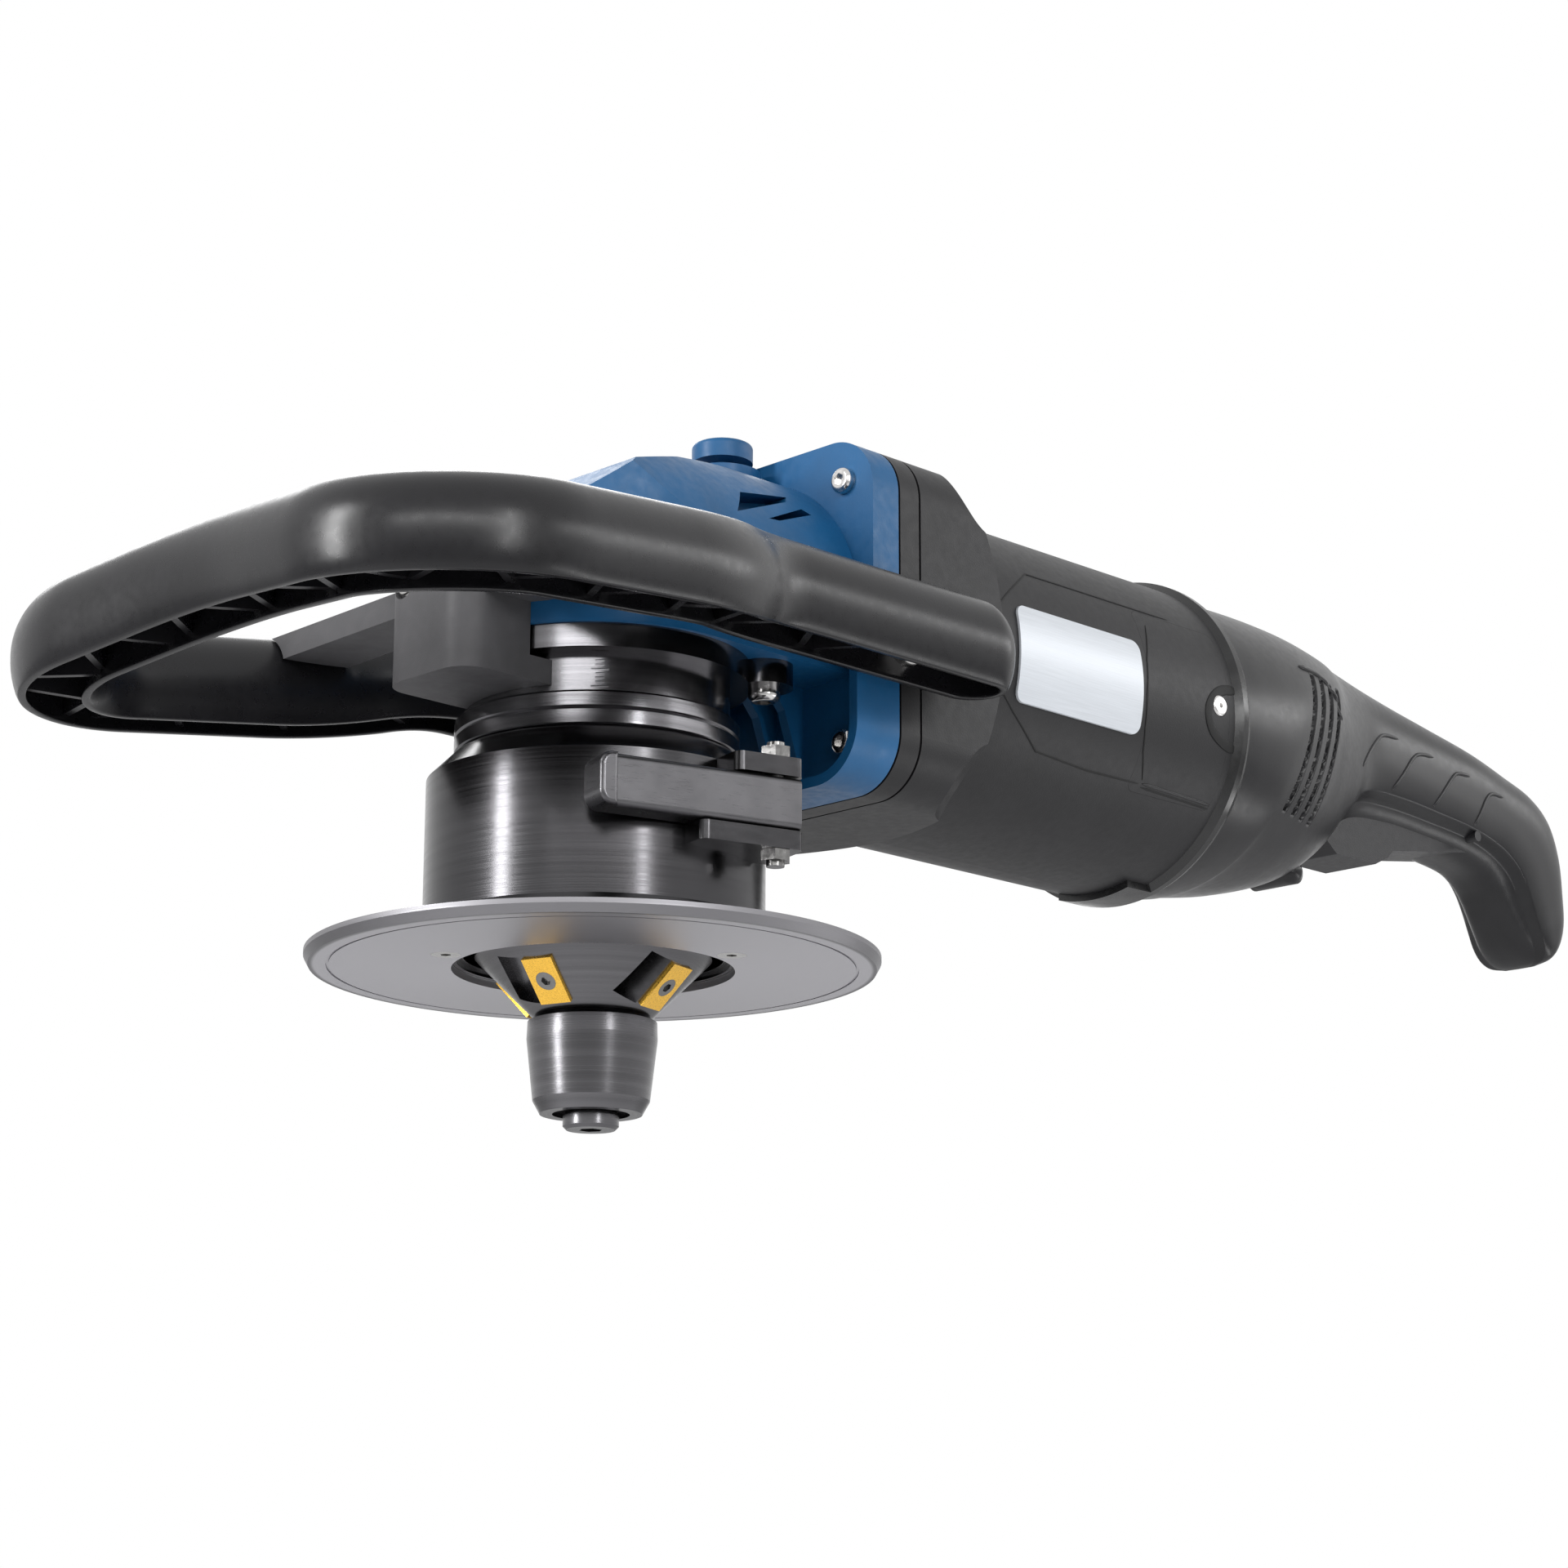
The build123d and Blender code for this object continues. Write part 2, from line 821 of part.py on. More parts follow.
crown_pitch_r = crown_teeth * gear_module / 2
pinion_pitch_r = pinion_teeth * gear_module / 2
cone_length = math.hypot(crown_pitch_r, pinion_pitch_r)
cone_share = (cone_length - gear_face) / cone_length
apex = Vector(0, 0, motor_z)


def toward_apex(point):
    """The same point on the small end of a bevel tooth."""
    return apex + (Vector(*point) - apex) * cone_share


def frustum(points):
    """Solid between an outline on the big end and its smaller copy on the small end."""
    big = make_face(Polyline(*points, close=True))
    small = make_face(Polyline(*[toward_apex(p) for p in points], close=True))
    return loft([big, small], ruled=True)


def crown_point(across, along):
    """Point on the crown gear's big end: across the tooth, and out of its pitch cone."""
    sin_cone = pinion_pitch_r / cone_length
    cos_cone = crown_pitch_r / cone_length
    return (crown_pitch_r + along * sin_cone, across, motor_z - pinion_pitch_r + along * cos_cone)


def make_crown_gear():
    """Bevel crown wheel on the spindle, one straight tooth at +X."""
    slope = math.tan(math.radians(pressure_angle))
    half = (math.pi * gear_module / 2 - gear_backlash) / 2
    top = gear_module * tooth_top_share
    root = gear_module * tooth_root_share
    sunk = root + gear_module * tooth_root_share
    outline = [
        crown_point(-half - slope * root, -sunk),
        crown_point(-half - slope * root, -root),
        crown_point(-half + slope * top, top),
        crown_point(half - slope * top, top),
        crown_point(half + slope * root, -root),
        crown_point(half + slope * root, -sunk),
    ]
    tooth = frustum(outline)
    outer = crown_point(0, -root)
    inner = toward_apex(outer)
    body = turned([
        (spindle_gear_r + seat_gap, crown_low),
        (crown_hub_r, crown_low),
        (outer[0], inner.Z - gear_face),
        (outer[0], outer[2]),
        (inner.X, inner.Z),
        (crown_hub_r, inner.Z),
        (crown_hub_r, crown_hub_high),
        (spindle_gear_r + seat_gap, crown_hub_high),
    ])
    step = full_turn / crown_teeth
    return body + [Rot(0, 0, i * step) * tooth for i in range(crown_teeth)]


def flank_half_angle(radius):
    """Half the angle that an involute pinion tooth covers at one radius."""
    flat = math.radians(pressure_angle)
    base_r = pinion_pitch_r * math.cos(flat)
    at_pitch = (math.pi * gear_module / 2 - gear_backlash) / (2 * pinion_pitch_r)
    rise = math.acos(base_r / max(radius, base_r))
    return at_pitch + math.tan(flat) - flat - (math.tan(rise) - rise)


def make_pinion():
    """Bevel pinion on the armature shaft, a gap between its teeth facing the crown wheel."""
    root_r = pinion_pitch_r - gear_module * tooth_root_share
    base_r = pinion_pitch_r * math.cos(math.radians(pressure_angle))
    tip_r = pinion_pitch_r + gear_module * tooth_top_share
    stations = [root_r, base_r, pinion_pitch_r, tip_r]
    outline = []
    for i in range(pinion_teeth):
        middle = 2 * math.pi * (i + 1 / 2) / pinion_teeth - math.pi / 2
        flank = [(radius, flank_half_angle(radius)) for radius in stations]
        for radius, angle in flank:
            outline.append((radius, middle - angle))
        for radius, angle in reversed(flank):
            outline.append((radius, middle + angle))
    points = [
        (crown_pitch_r, radius * math.cos(angle), motor_z + radius * math.sin(angle))
        for radius, angle in outline
    ]
    return frustum(points) - bar_x(pinion_bore_r + seat_gap, 0, crown_pitch_r + overrun)


def insert_plane(angle):
    """Plane on the cutter's cone in the middle of one insert, its Z out of the cone."""
    turn = math.radians(angle)
    height = cutter_low + insert_mid_r - cutter_low_r
    origin = (insert_mid_r * math.cos(turn), insert_mid_r * math.sin(turn), height)
    around = (-math.sin(turn), math.cos(turn), 0)
    return Plane(origin, x_dir=around, z_dir=(math.cos(turn), math.sin(turn), -1))


def insert_angles():
    """Angle of each insert round the cutter."""
    return [insert_first_angle + i * full_turn / insert_count for i in range(insert_count)]


def make_cutter_head():
    """Bevel cutter body with a seat and a chip gullet for each insert."""
    cone_top = cutter_low + cutter_r - cutter_low_r
    body = turned([
        (cutter_bore_r, cutter_low),
        (cutter_low_r, cutter_low),
        (cutter_r, cone_top),
        (cutter_r, cutter_mid),
        (cutter_step_r, cutter_high),
        (spindle_collar_r, spindle_collar_low - seat_gap),
        (cutter_bore_r, spindle_collar_low - seat_gap),
    ])
    centre = (Align.CENTER, Align.CENTER, Align.MAX)
    depth = insert_thick - insert_proud
    for angle in insert_angles():
        plane = insert_plane(angle)
        seat = Box(insert_width + seat_gap, insert_length + seat_gap, insert_thick, align=centre)
        seat = Pos(0, 0, insert_proud + seat_gap / 2) * seat
        hole = Cylinder(insert_screw_r + seat_gap, insert_screw_length + depth, align=centre)
        gullet = Pos(-insert_width / 2, 0, gullet_depth / 2) * Rot(0, gullet_tilt, 0)
        gullet_box = Box(gullet_width, gullet_length, gullet_depth * 2, align=centre)
        gullet = gullet * Pos(-gullet_width / 2, 0, 0) * gullet_box
        body -= plane * seat
        body -= plane * hole
        body -= plane * gullet
    return body


def make_cutting_inserts():
    """Carbide inserts lying on the cone, a screw through each."""
    centre = (Align.CENTER, Align.CENTER, Align.MAX)
    tip = Box(insert_width, insert_length, insert_thick - seat_gap, align=centre)
    tip = Pos(0, 0, insert_proud) * chamfer(tip.edges().group_by(Axis.Z)[0], insert_edge)
    head = Pos(0, 0, insert_proud - insert_screw_head_depth / 2)
    head = head * Cone(insert_screw_r + seat_gap, insert_screw_head_r + seat_gap, insert_screw_head_depth)
    hole = Cylinder(insert_screw_r + seat_gap, insert_thick * 3)
    tip = tip - head - hole
    return Compound([insert_plane(angle) * tip for angle in insert_angles()])


def make_insert_screws():
    """Countersunk screws of the inserts."""
    head = Pos(0, 0, insert_proud - insert_screw_head_depth / 2)
    head = head * Cone(insert_screw_r, insert_screw_head_r, insert_screw_head_depth)
    top = insert_proud - insert_screw_head_depth
    reach = insert_screw_length - insert_thick / 2
    shank = Cylinder(insert_screw_r, reach, align=(Align.CENTER, Align.CENTER, Align.MAX))
    recess = RegularPolygon(insert_screw_head_r * hex_socket_share, 6)
    socket = Pos(0, 0, insert_proud) * extrude(recess, -insert_screw_r / 2)
    screw = head + Pos(0, 0, top) * shank - socket
    return Compound([insert_plane(angle) * screw for angle in insert_angles()])


def make_pilot_roller():
    """Pilot roller that follows the workpiece edge, with two bearing seats."""
    seat = pilot_bearing_r + seat_gap
    seat_top = pilot_bearing_low + 2 * pilot_bearing_width + pilot_bearing_gap
    points = [
        (pilot_lip_r, pilot_high),
        (pilot_r, pilot_high),
        (pilot_bulge_r, pilot_bulge_z),
        (pilot_taper_r, pilot_taper_z),
        (pilot_low_r, pilot_low),
        (seat, pilot_low),
        (seat, seat_top + seat_gap),
        (pilot_lip_r, seat_top + seat_gap),
    ]
    roller = turned(points)
    spacer_low = pilot_bearing_low + pilot_bearing_width + seat_gap
    spacer = ring(seat + overrun, pilot_lip_r, spacer_low, spacer_low + pilot_bearing_gap - 2 * seat_gap)
    return roller + spacer


def make_pilot_bearings():
    """Two ball bearings inside the pilot roller."""
    bearing = ball_bearing(pilot_bearing_r, pilot_axle_r + running, pilot_bearing_width)
    upper = pilot_bearing_low + pilot_bearing_width + pilot_bearing_gap
    return Compound([Pos(0, 0, pilot_bearing_low) * bearing, Pos(0, 0, upper) * bearing])


def make_pilot_screw():
    """Long screw that carries the pilot roller under the cutter head."""
    axle = disc(pilot_axle_r, pilot_head_high, pilot_axle_top - seat_gap)
    head = disc(pilot_head_r, pilot_head_low, pilot_head_high)
    head = chamfer(head.edges().group_by(Axis.Z)[0], pilot_head_chamfer)
    socket = Pos(0, 0, pilot_head_low) * extrude(RegularPolygon(pilot_socket_r, 6), pilot_socket_depth)
    collar = disc(pilot_washer_r, pilot_head_high, pilot_bearing_low - free_gap)
    return axle + head + collar - socket


def housing_side_points():
    """Side outline of the gear housing above its lower face, as (x, z)."""
    return [
        (-housing_r, housing_low),
        (-housing_r, housing_front_top - housing_edge),
        (housing_edge - housing_r, housing_front_top),
        (housing_crown_x - housing_r / 2, (housing_front_top + housing_crown_top + housing_edge) / 2),
        (housing_crown_x, housing_crown_top),
        (mount_front_x, housing_rear_top),
        (mount_front_x, housing_low),
    ]


def make_housing_head():
    """Round-nosed head of the gear housing with its rounded roof."""
    plan = Circle(housing_r) + Pos(mount_front_x / 2, 0) * Rectangle(mount_front_x, 2 * housing_r)
    tower = Pos(0, 0, housing_low) * extrude(plan, housing_rear_top - housing_low)
    roof = side_plate(housing_side_points(), -housing_r - overrun, housing_r + overrun)
    roof_r = housing_r + housing_round
    barrel_roof = bar_x(roof_r, -housing_r - overrun, mount_front_x + overrun, 0, motor_z)
    lower_half = block(
        -housing_r - overrun, mount_front_x + overrun, -housing_r - overrun, housing_r + overrun,
        housing_low, motor_z,
    )
    return tower & roof & (barrel_roof + lower_half)


def make_mount_flange():
    """Rounded square flange that the motor is screwed to, with a deep rim below."""
    flange = rounded_square_x(mount_front_x, mount_face_x, mount_half, mount_round)
    rim = rounded_square_x(mount_rim_x, mount_front_x, mount_half, mount_round)
    rim -= rounded_square_x(
        mount_rim_x - overrun, mount_front_x + overrun, mount_half - mount_rim, mount_round - mount_rim,
    )
    below = block(
        mount_rim_x - overrun, mount_front_x + overrun, -mount_half - overrun, mount_half + overrun,
        motor_z - mount_half - overrun, housing_low + housing_skirt,
    )
    return flange + (rim & below)


def mount_screw_places():
    """Centres of the four motor screws as (y, z)."""
    return [
        (side * mount_screw_out, motor_z + up * mount_screw_up) for side in (-1, 1) for up in (-1, 1)
    ]


def make_gear_housing():
    """Cast housing: round head over the gears, motor flange, ribs, vents and lock boss."""
    housing = make_housing_head() + make_mount_flange()
    boss = Pos(lock_x, 0, 0) * disc(lock_boss_r, motor_z + housing_tunnel_r, lock_boss_high)
    housing += boss
    for i in range(rib_count):
        for side in (-1, 1):
            y = side * (rib_first_y + i * rib_pitch)
            rib = side_plate(
                [
                    (mount_front_x, rib_low),
                    (mount_front_x, housing_low + overrun),
                    (flange_ear_ring_r - rib_nose / 2, housing_low + overrun),
                    (flange_ear_ring_r + rib_nose / 2, housing_low - rib_nose),
                ],
                y - rib_thick / 2, y + rib_thick / 2,
            )
            housing += rib
    housing -= disc(housing_room_r, housing_low - overrun, housing_room_high)
    bearing_high = upper_bearing_low + upper_bearing_width
    housing -= disc(upper_bearing_r + seat_gap, housing_room_high - overrun, bearing_high)
    housing -= disc(spindle_top_r + bearing_race, housing_room_high, spindle_top + overrun)
    housing -= bar_x(housing_tunnel_r, housing_tunnel_x, housing_tunnel_end)
    housing -= bar_x(motor_bearing_r + seat_gap, housing_tunnel_end - overrun, mount_face_x + overrun)
    housing -= Pos(lock_x, 0, 0) * disc(lock_pin_r + running, motor_z, lock_flange_z)
    flange_floor = lock_flange_z - lock_travel - overrun
    housing -= Pos(lock_x, 0, 0) * disc(lock_flange_r + seat_gap, flange_floor, lock_boss_high + overrun)
    for y, z in mount_screw_places():
        housing -= bar_x(mount_screw_r + seat_gap, mount_rim_x, mount_face_x + overrun, y, z)
        head_room = mount_screw_head_r + running + seat_gap
        housing -= bar_x(head_room, mount_rim_x - overrun, mount_front_x, y, z)
    for side in (-1, 1):
        low, high = sorted((side * (mount_half - side_bolt_reach - overrun), side * (mount_half + overrun)))
        housing -= bar_y(side_bolt_r + seat_gap, bow_boss_x, low, high, bow_boss_z)
    for outline in vent_outline_shares:
        corners = [(vent_x + x * vent_span, vent_z + z * vent_span) for x, z in outline]
        for side in (-1, 1):
            low, high = sorted((side * (housing_r - vent_depth), side * (housing_r + housing_round)))
            housing -= side_plate(corners, low, high)
    for place in ear_places():
        hole_high = neck_high + flange_screw_reach + overrun
        housing -= place * disc(flange_screw_r + seat_gap, housing_low - overrun, hole_high)
    for side in (-1, 1):
        y = side * bracket_screw_y
        hole_rear = bracket_screw_reach - housing_r + overrun
        housing -= bar_x(bracket_screw_r + seat_gap, -housing_r - overrun, hole_rear, y, bracket_screw_z)
    return housing


def make_housing_screws():
    """Four pan-head screws through the gear housing, shield and into the motor housing."""
    screw = pan_screw(
        mount_screw_r, mount_screw_head_r, mount_screw_head, mount_screw_reach,
        mount_screw_socket_r, mount_screw_socket_depth,
    )
    return Compound([
        Pos(mount_front_x, y, z) * Rot(0, -90, 0) * screw for y, z in mount_screw_places()
    ])


def make_lock_button():
    """Round button with the pin that enters a notch of the lock collar."""
    button = disc(lock_button_r, lock_button_low, lock_button_high)
    button = fillet(button.edges().group_by(Axis.Z)[-1], lock_button_edge)
    button = button + disc(lock_pin_r, lock_pin_low, lock_button_low + overrun)
    flange_low = lock_flange_z + lock_flange_thick * 2
    button = button + disc(lock_flange_r, flange_low, flange_low + lock_flange_thick)
    return Pos(lock_x, 0, 0) * button


def make_lock_spring():
    """Coil spring under the lock button's flange."""
    low = lock_flange_z - lock_travel - overrun + lock_spring_wire + spring_gap
    high = lock_flange_z + lock_flange_thick * 2 - lock_spring_wire - spring_gap
    height = high - low
    path = Pos(lock_x, 0, low) * Helix(height / lock_spring_turns, height, lock_spring_r)
    section = Plane(path @ 0, z_dir=path % 0) * Circle(lock_spring_wire)
    return sweep(section, path, is_frenet=True)


def make_lock_collar():
    """Notched collar on the armature shaft that the lock pin enters."""
    half = lock_collar_width / 2
    collar = bar_x(lock_collar_r, lock_x - half, lock_x + half) - bar_x(shaft_r + seat_gap, 0, mount_face_x)
    for i in range(lock_notch_count):
        notch = block(
            lock_x - half - overrun, lock_x + half + overrun, -lock_notch_width / 2, lock_notch_width / 2,
            lock_collar_r - lock_notch_depth, lock_collar_r + overrun,
        )
        collar -= Pos(0, 0, motor_z) * Rot(i * full_turn / lock_notch_count, 0, 0) * notch
    return collar


def make_motor_shield():
    """Ring between the gear housing and the motor with the front bearing's seat."""
    groove = shield_groove
    shield = rounded_square_x(shield_front_x + seat_gap, shield_rear_x, mount_half - groove, mount_round)
    proud = rounded_square_x(shield_front_x + groove, shield_rear_x - groove, mount_half, mount_round)
    shield = shield + proud
    web_x = shield_front_x + shield_web
    shield -= bar_x(body_r - body_wall * 2, web_x, shield_rear_x + overrun)
    shield -= bar_x(shaft_r + free_gap * 4, 0, shield_rear_x + overrun)
    for i in range(shield_window_count):
        turn = Pos(0, 0, motor_z) * Rot(i * full_turn / shield_window_count, 0, 0)
        window = bar_x(shield_window_r, shield_front_x - overrun, web_x + overrun, shield_window_ring_r, 0)
        shield -= turn * window
    for y, z in mount_screw_places():
        shield -= bar_x(mount_screw_r + seat_gap, shield_front_x - overrun, shield_rear_x + overrun, y, z)
    return shield


def make_front_bearing():
    """Ball bearing behind the pinion."""
    return ball_bearing_x(motor_bearing_r, shaft_r + running, motor_bearing_width, motor_bearing_x)


def make_rear_bearing():
    """Ball bearing behind the commutator."""
    return ball_bearing_x(rear_bearing_r, shaft_rear_r + running, rear_bearing_width, rear_bearing_x)


def cover_window(side, inner_r, grow):
    """Patch of the motor housing's wall that a side cover fills, at one side."""
    middle = Pos((cover_front_x + cover_rear_x) / 2, (cover_low + cover_high) / 2)
    outline = RectangleRounded(
        cover_rear_x - cover_front_x + 2 * grow, cover_high - cover_low + 2 * grow, cover_round,
    )
    prism = extrude(Plane.XZ * middle * outline, -side * (body_r + overrun))
    outer_r = body_r + overrun if grow else body_r
    return prism & ring_x(outer_r, inner_r, cover_front_x - overrun, cover_rear_x + overrun)


def make_motor_housing():
    """Round motor housing that grows square lobes towards its front end."""
    front = shield_rear_x + seat_gap
    lobes = rounded_square_x(front, block_rear_x, mount_half, mount_round)
    slope = turned_x([
        (front - overrun, 0),
        (front - overrun, 2 * mount_half),
        (block_slope_x, 2 * mount_half),
        (block_slope_x, block_slope_r),
        (block_rear_x, body_r),
        (block_rear_x, 0),
    ])
    lobes = lobes & slope
    for i in range(4):
        scoop = Pos(scoop_x, 0, body_r + scoop_r) * Sphere(scoop_r)
        lobes -= Pos(0, 0, motor_z) * Rot(full_turn * (i + 1 / 2) / 4, 0, 0) * scoop
    body = bar_x(body_r, front, body_rear_x) + lobes
    inner_r = body_r - body_wall
    body -= bar_x(inner_r, front - overrun, rear_web_x)
    body -= bar_x(inner_r, rear_web_x + rear_web_width, body_rear_x + overrun)
    seat_rear = rear_bearing_x + rear_bearing_width
    body += bar_x(rear_bearing_r + body_wall, rear_web_x, seat_rear)
    body -= bar_x(rear_bearing_r + seat_gap, rear_bearing_x, seat_rear + overrun)
    body -= bar_x(shaft_r + free_gap * 4, rear_web_x - overrun, rear_bearing_x + overrun)
    for i in range(rear_web_slot_count):
        turn = Pos(0, 0, motor_z) * Rot((i + 1 / 2) * full_turn / rear_web_slot_count, 0, 0)
        body -= turn * bar_x(
            rear_web_slot_r, rear_web_x - overrun, rear_web_x + rear_web_width + overrun,
            rear_web_slot_ring_r, 0,
        )
    for y, z in mount_screw_places():
        hole_rear = mount_front_x + mount_screw_reach + overrun
        body -= bar_x(mount_screw_r + seat_gap, front - overrun, hole_rear, y, z)
    for side in (-1, 1):
        body -= cover_window(side, body_r - cover_thick - seat_gap, seat_gap)
        low, high = sorted((side * (inner_r - cover_screw_reach), side * (inner_r + seat_gap)))
        body += bar_y(cover_boss_r, cover_screw_x, low, high, cover_screw_z)
        low, high = sorted((side * (inner_r - cover_screw_reach - overrun), side * (body_r + overrun)))
        body -= bar_y(cover_screw_r + seat_gap, cover_screw_x, low, high, cover_screw_z)
    return body


def make_side_cover(side):
    """Curved cover over the brushes, flush with the motor housing."""
    cover = cover_window(side, body_r - cover_thick, 0)
    low, high = sorted((0, side * (body_r + overrun)))
    cover -= bar_y(cover_screw_r + seat_gap, cover_screw_x, low, high, cover_screw_z)
    low, high = sorted((side * (body_r - cover_screw_sink), side * (body_r + overrun)))
    return cover - bar_y(cover_screw_head_r + seat_gap, cover_screw_x, low, high, cover_screw_z)


def make_cover_screws():
    """One screw in each side cover."""
    screw = pan_screw(
        cover_screw_r, cover_screw_head_r, cover_screw_head, cover_screw_reach,
        cover_screw_r * hex_socket_share, cover_screw_head / 2,
    )
    seat = body_r - cover_screw_sink
    near = Pos(cover_screw_x, -seat, cover_screw_z) * Rot(90, 0, 0) * screw
    far = Pos(cover_screw_x, seat, cover_screw_z) * Rot(-90, 0, 0) * screw
    return Compound([near, far])


def make_rating_plate():
    """Bare plate on the near side of the motor housing, bent to its curve."""
    middle = Pos((plate_front_x + plate_rear_x) / 2, (plate_low_z + plate_high_z) / 2)
    outline = RectangleRounded(plate_rear_x - plate_front_x, plate_high_z - plate_low_z, plate_corner)
    prism = extrude(Plane.XZ * middle * outline, body_r + plate_thick + overrun)
    under = body_r + seat_gap
    skin = ring_x(under + plate_thick, under, plate_front_x - overrun, plate_rear_x + overrun)
    return prism & skin


def make_armature_shaft():
    """Armature shaft from the pinion to the rear bearing."""
    pinion_rear = crown_pitch_r + seat_gap
    shaft = bar_x(pinion_bore_r, crown_pitch_r - gear_face, pinion_rear)
    shaft += bar_x(shaft_r, pinion_rear, rear_bearing_x - free_gap)
    shaft += bar_x(shaft_rear_r, rear_bearing_x - free_gap, shaft_rear_x)
    return shaft


def make_armature_core():
    """Laminated core with winding slots."""
    core = bar_x(core_r, core_x, core_x + core_length) - bar_x(shaft_r + seat_gap, 0, shaft_rear_x)
    for i in range(core_slot_count):
        slot = block(
            core_x - overrun, core_x + core_length + overrun, -core_slot_width / 2, core_slot_width / 2,
            core_r - core_slot_depth, core_r + overrun,
        )
        core -= Pos(0, 0, motor_z) * Rot(i * full_turn / core_slot_count, 0, 0) * slot
    return core


def coil_ring(front, rear, outer, bore, edge):
    """Ring with chamfered outer corners on the motor axis."""
    return turned_x([
        (front, bore),
        (rear, bore),
        (rear, outer - edge),
        (rear - edge, outer),
        (front + edge, outer),
        (front, outer - edge),
    ])


def make_armature_coils():
    """End windings in front of and behind the core."""
    bore = shaft_r + seat_gap
    front = coil_ring(core_x - coil_length, core_x - seat_gap, coil_r, bore, coil_edge)
    rear_x = core_x + core_length + seat_gap
    rear = coil_ring(rear_x, rear_x + coil_length, coil_r, bore, coil_edge)
    return Compound([front, rear])


def make_commutator():
    """Slotted commutator."""
    end = commutator_x + commutator_length
    drum = bar_x(commutator_r, commutator_x, end) - bar_x(shaft_r + seat_gap, 0, shaft_rear_x)
    for i in range(commutator_bars):
        slot = block(
            commutator_x + commutator_slot * 3, end + overrun, -commutator_slot / 2, commutator_slot / 2,
            commutator_r - commutator_slot_depth, commutator_r + overrun,
        )
        drum -= Pos(0, 0, motor_z) * Rot(i * full_turn / commutator_bars, 0, 0) * slot
    return drum


def make_cooling_fan():
    """Radial fan behind the front bearing."""
    end = fan_x + fan_width
    fan = bar_x(fan_hub_r, fan_x, end) + bar_x(fan_r, end - fan_disc, end)
    for i in range(fan_blade_count):
        blade = block(
            fan_x, end - fan_disc / 2, -fan_blade / 2, fan_blade / 2, fan_blade_in_r, fan_r - fan_blade,
        )
        fan += Pos(0, 0, motor_z) * Rot(i * full_turn / fan_blade_count, 0, 0) * blade
    return fan - bar_x(shaft_r + seat_gap, 0, shaft_rear_x)


def make_stator_core():
    """Laminated stator with two poles and a round bore."""
    stack = ring_x(stator_r, core_r + armature_gap, core_x, core_x + core_length)
    end = core_x + core_length
    pole_shoe_r = core_r + armature_gap + stator_yoke
    window = ring_x(stator_r - stator_yoke, pole_shoe_r, core_x - overrun, end + overrun)
    poles = block(
        core_x - overrun, end + overrun, -stator_pole_half, stator_pole_half,
        motor_z - stator_r, motor_z + stator_r,
    )
    return stack - (window - poles)


def make_field_coils():
    """Field winding ends in front of and behind the stator."""
    front_x = core_x - field_coil_length
    front = coil_ring(front_x, core_x - seat_gap, field_coil_r, field_coil_bore_r, coil_edge)
    rear_x = core_x + core_length + seat_gap
    rear = coil_ring(rear_x, rear_x + field_coil_length, field_coil_r, field_coil_bore_r, coil_edge)
    return Compound([front, rear])


def brush_middle():
    """X of the brushes' middle."""
    return commutator_x + commutator_length / 2


def make_brush_holders():
    """Brass brush boxes, one on each side of the commutator."""
    middle = brush_middle()
    inner_x = brush_half_x + seat_gap
    inner_z = brush_half_z + seat_gap
    boxes = []
    for side in (-1, 1):
        low, high = sorted((side * holder_in_r, side * holder_out_r))
        case = block(
            middle - inner_x - holder_wall, middle + inner_x + holder_wall, low, high,
            motor_z - inner_z - holder_wall, motor_z + inner_z + holder_wall,
        )
        low, high = sorted((side * (holder_in_r - overrun), side * (holder_out_r - holder_wall)))
        case -= block(middle - inner_x, middle + inner_x, low, high, motor_z - inner_z, motor_z + inner_z)
        boxes.append(case)
    return Compound(boxes)


def make_carbon_brushes():
    """Carbon brushes just clear of the commutator."""
    middle = brush_middle()
    near = commutator_r + brush_gap
    brushes = []
    for side in (-1, 1):
        low, high = sorted((side * near, side * (near + brush_length)))
        brush = block(
            middle - brush_half_x, middle + brush_half_x, low, high,
            motor_z - brush_half_z, motor_z + brush_half_z,
        )
        brushes.append(brush - bar_x(near, commutator_x, commutator_x + commutator_length))
    return Compound(brushes)


def make_brush_springs():
    """Coil springs that press on the brushes."""
    start = commutator_r + brush_gap + brush_length + brush_spring_wire + spring_gap
    end = holder_out_r - holder_wall - brush_spring_wire - spring_gap
    height = end - start
    path = Helix(height / brush_spring_turns, height, brush_spring_r)
    section = Plane(path @ 0, z_dir=path % 0) * Circle(brush_spring_wire)
    spring = sweep(section, path, is_frenet=True)
    near = Pos(brush_middle(), -start, motor_z) * Rot(90, 0, 0) * spring
    far = Pos(brush_middle(), start, motor_z) * Rot(-90, 0, 0) * spring
    return Compound([near, far])


def make_damping_ring():
    """Rubber ring between the motor housing and the rear handle, with a lip below."""
    edge = damper_edge
    ring_body = turned_x([
        (damper_front_x + seat_gap, damper_bore_r),
        (damper_rear_x - seat_gap, damper_bore_r),
        (damper_rear_x - seat_gap, body_r - edge),
        (damper_rear_x - edge, damper_r - edge / 2),
        (damper_rear_x - 2 * edge, damper_r),
        (damper_front_x + edge, damper_r),
        (damper_front_x + seat_gap, damper_r - edge),
    ])
    lip_r = body_r + seat_gap + damper_lip_thick
    lip = ring_x(lip_r, body_r + seat_gap, damper_lip_front_x, damper_front_x + edge)
    below = block(
        damper_lip_front_x, damper_front_x + edge, -damper_lip_half, damper_lip_half,
        motor_z - body_r - 2 * damper_lip_thick, motor_z,
    )
    return ring_body + (lip & below)


def along_handle(share):
    """X at a share of the handle's length."""
    return handle_front_x + share * handle_length


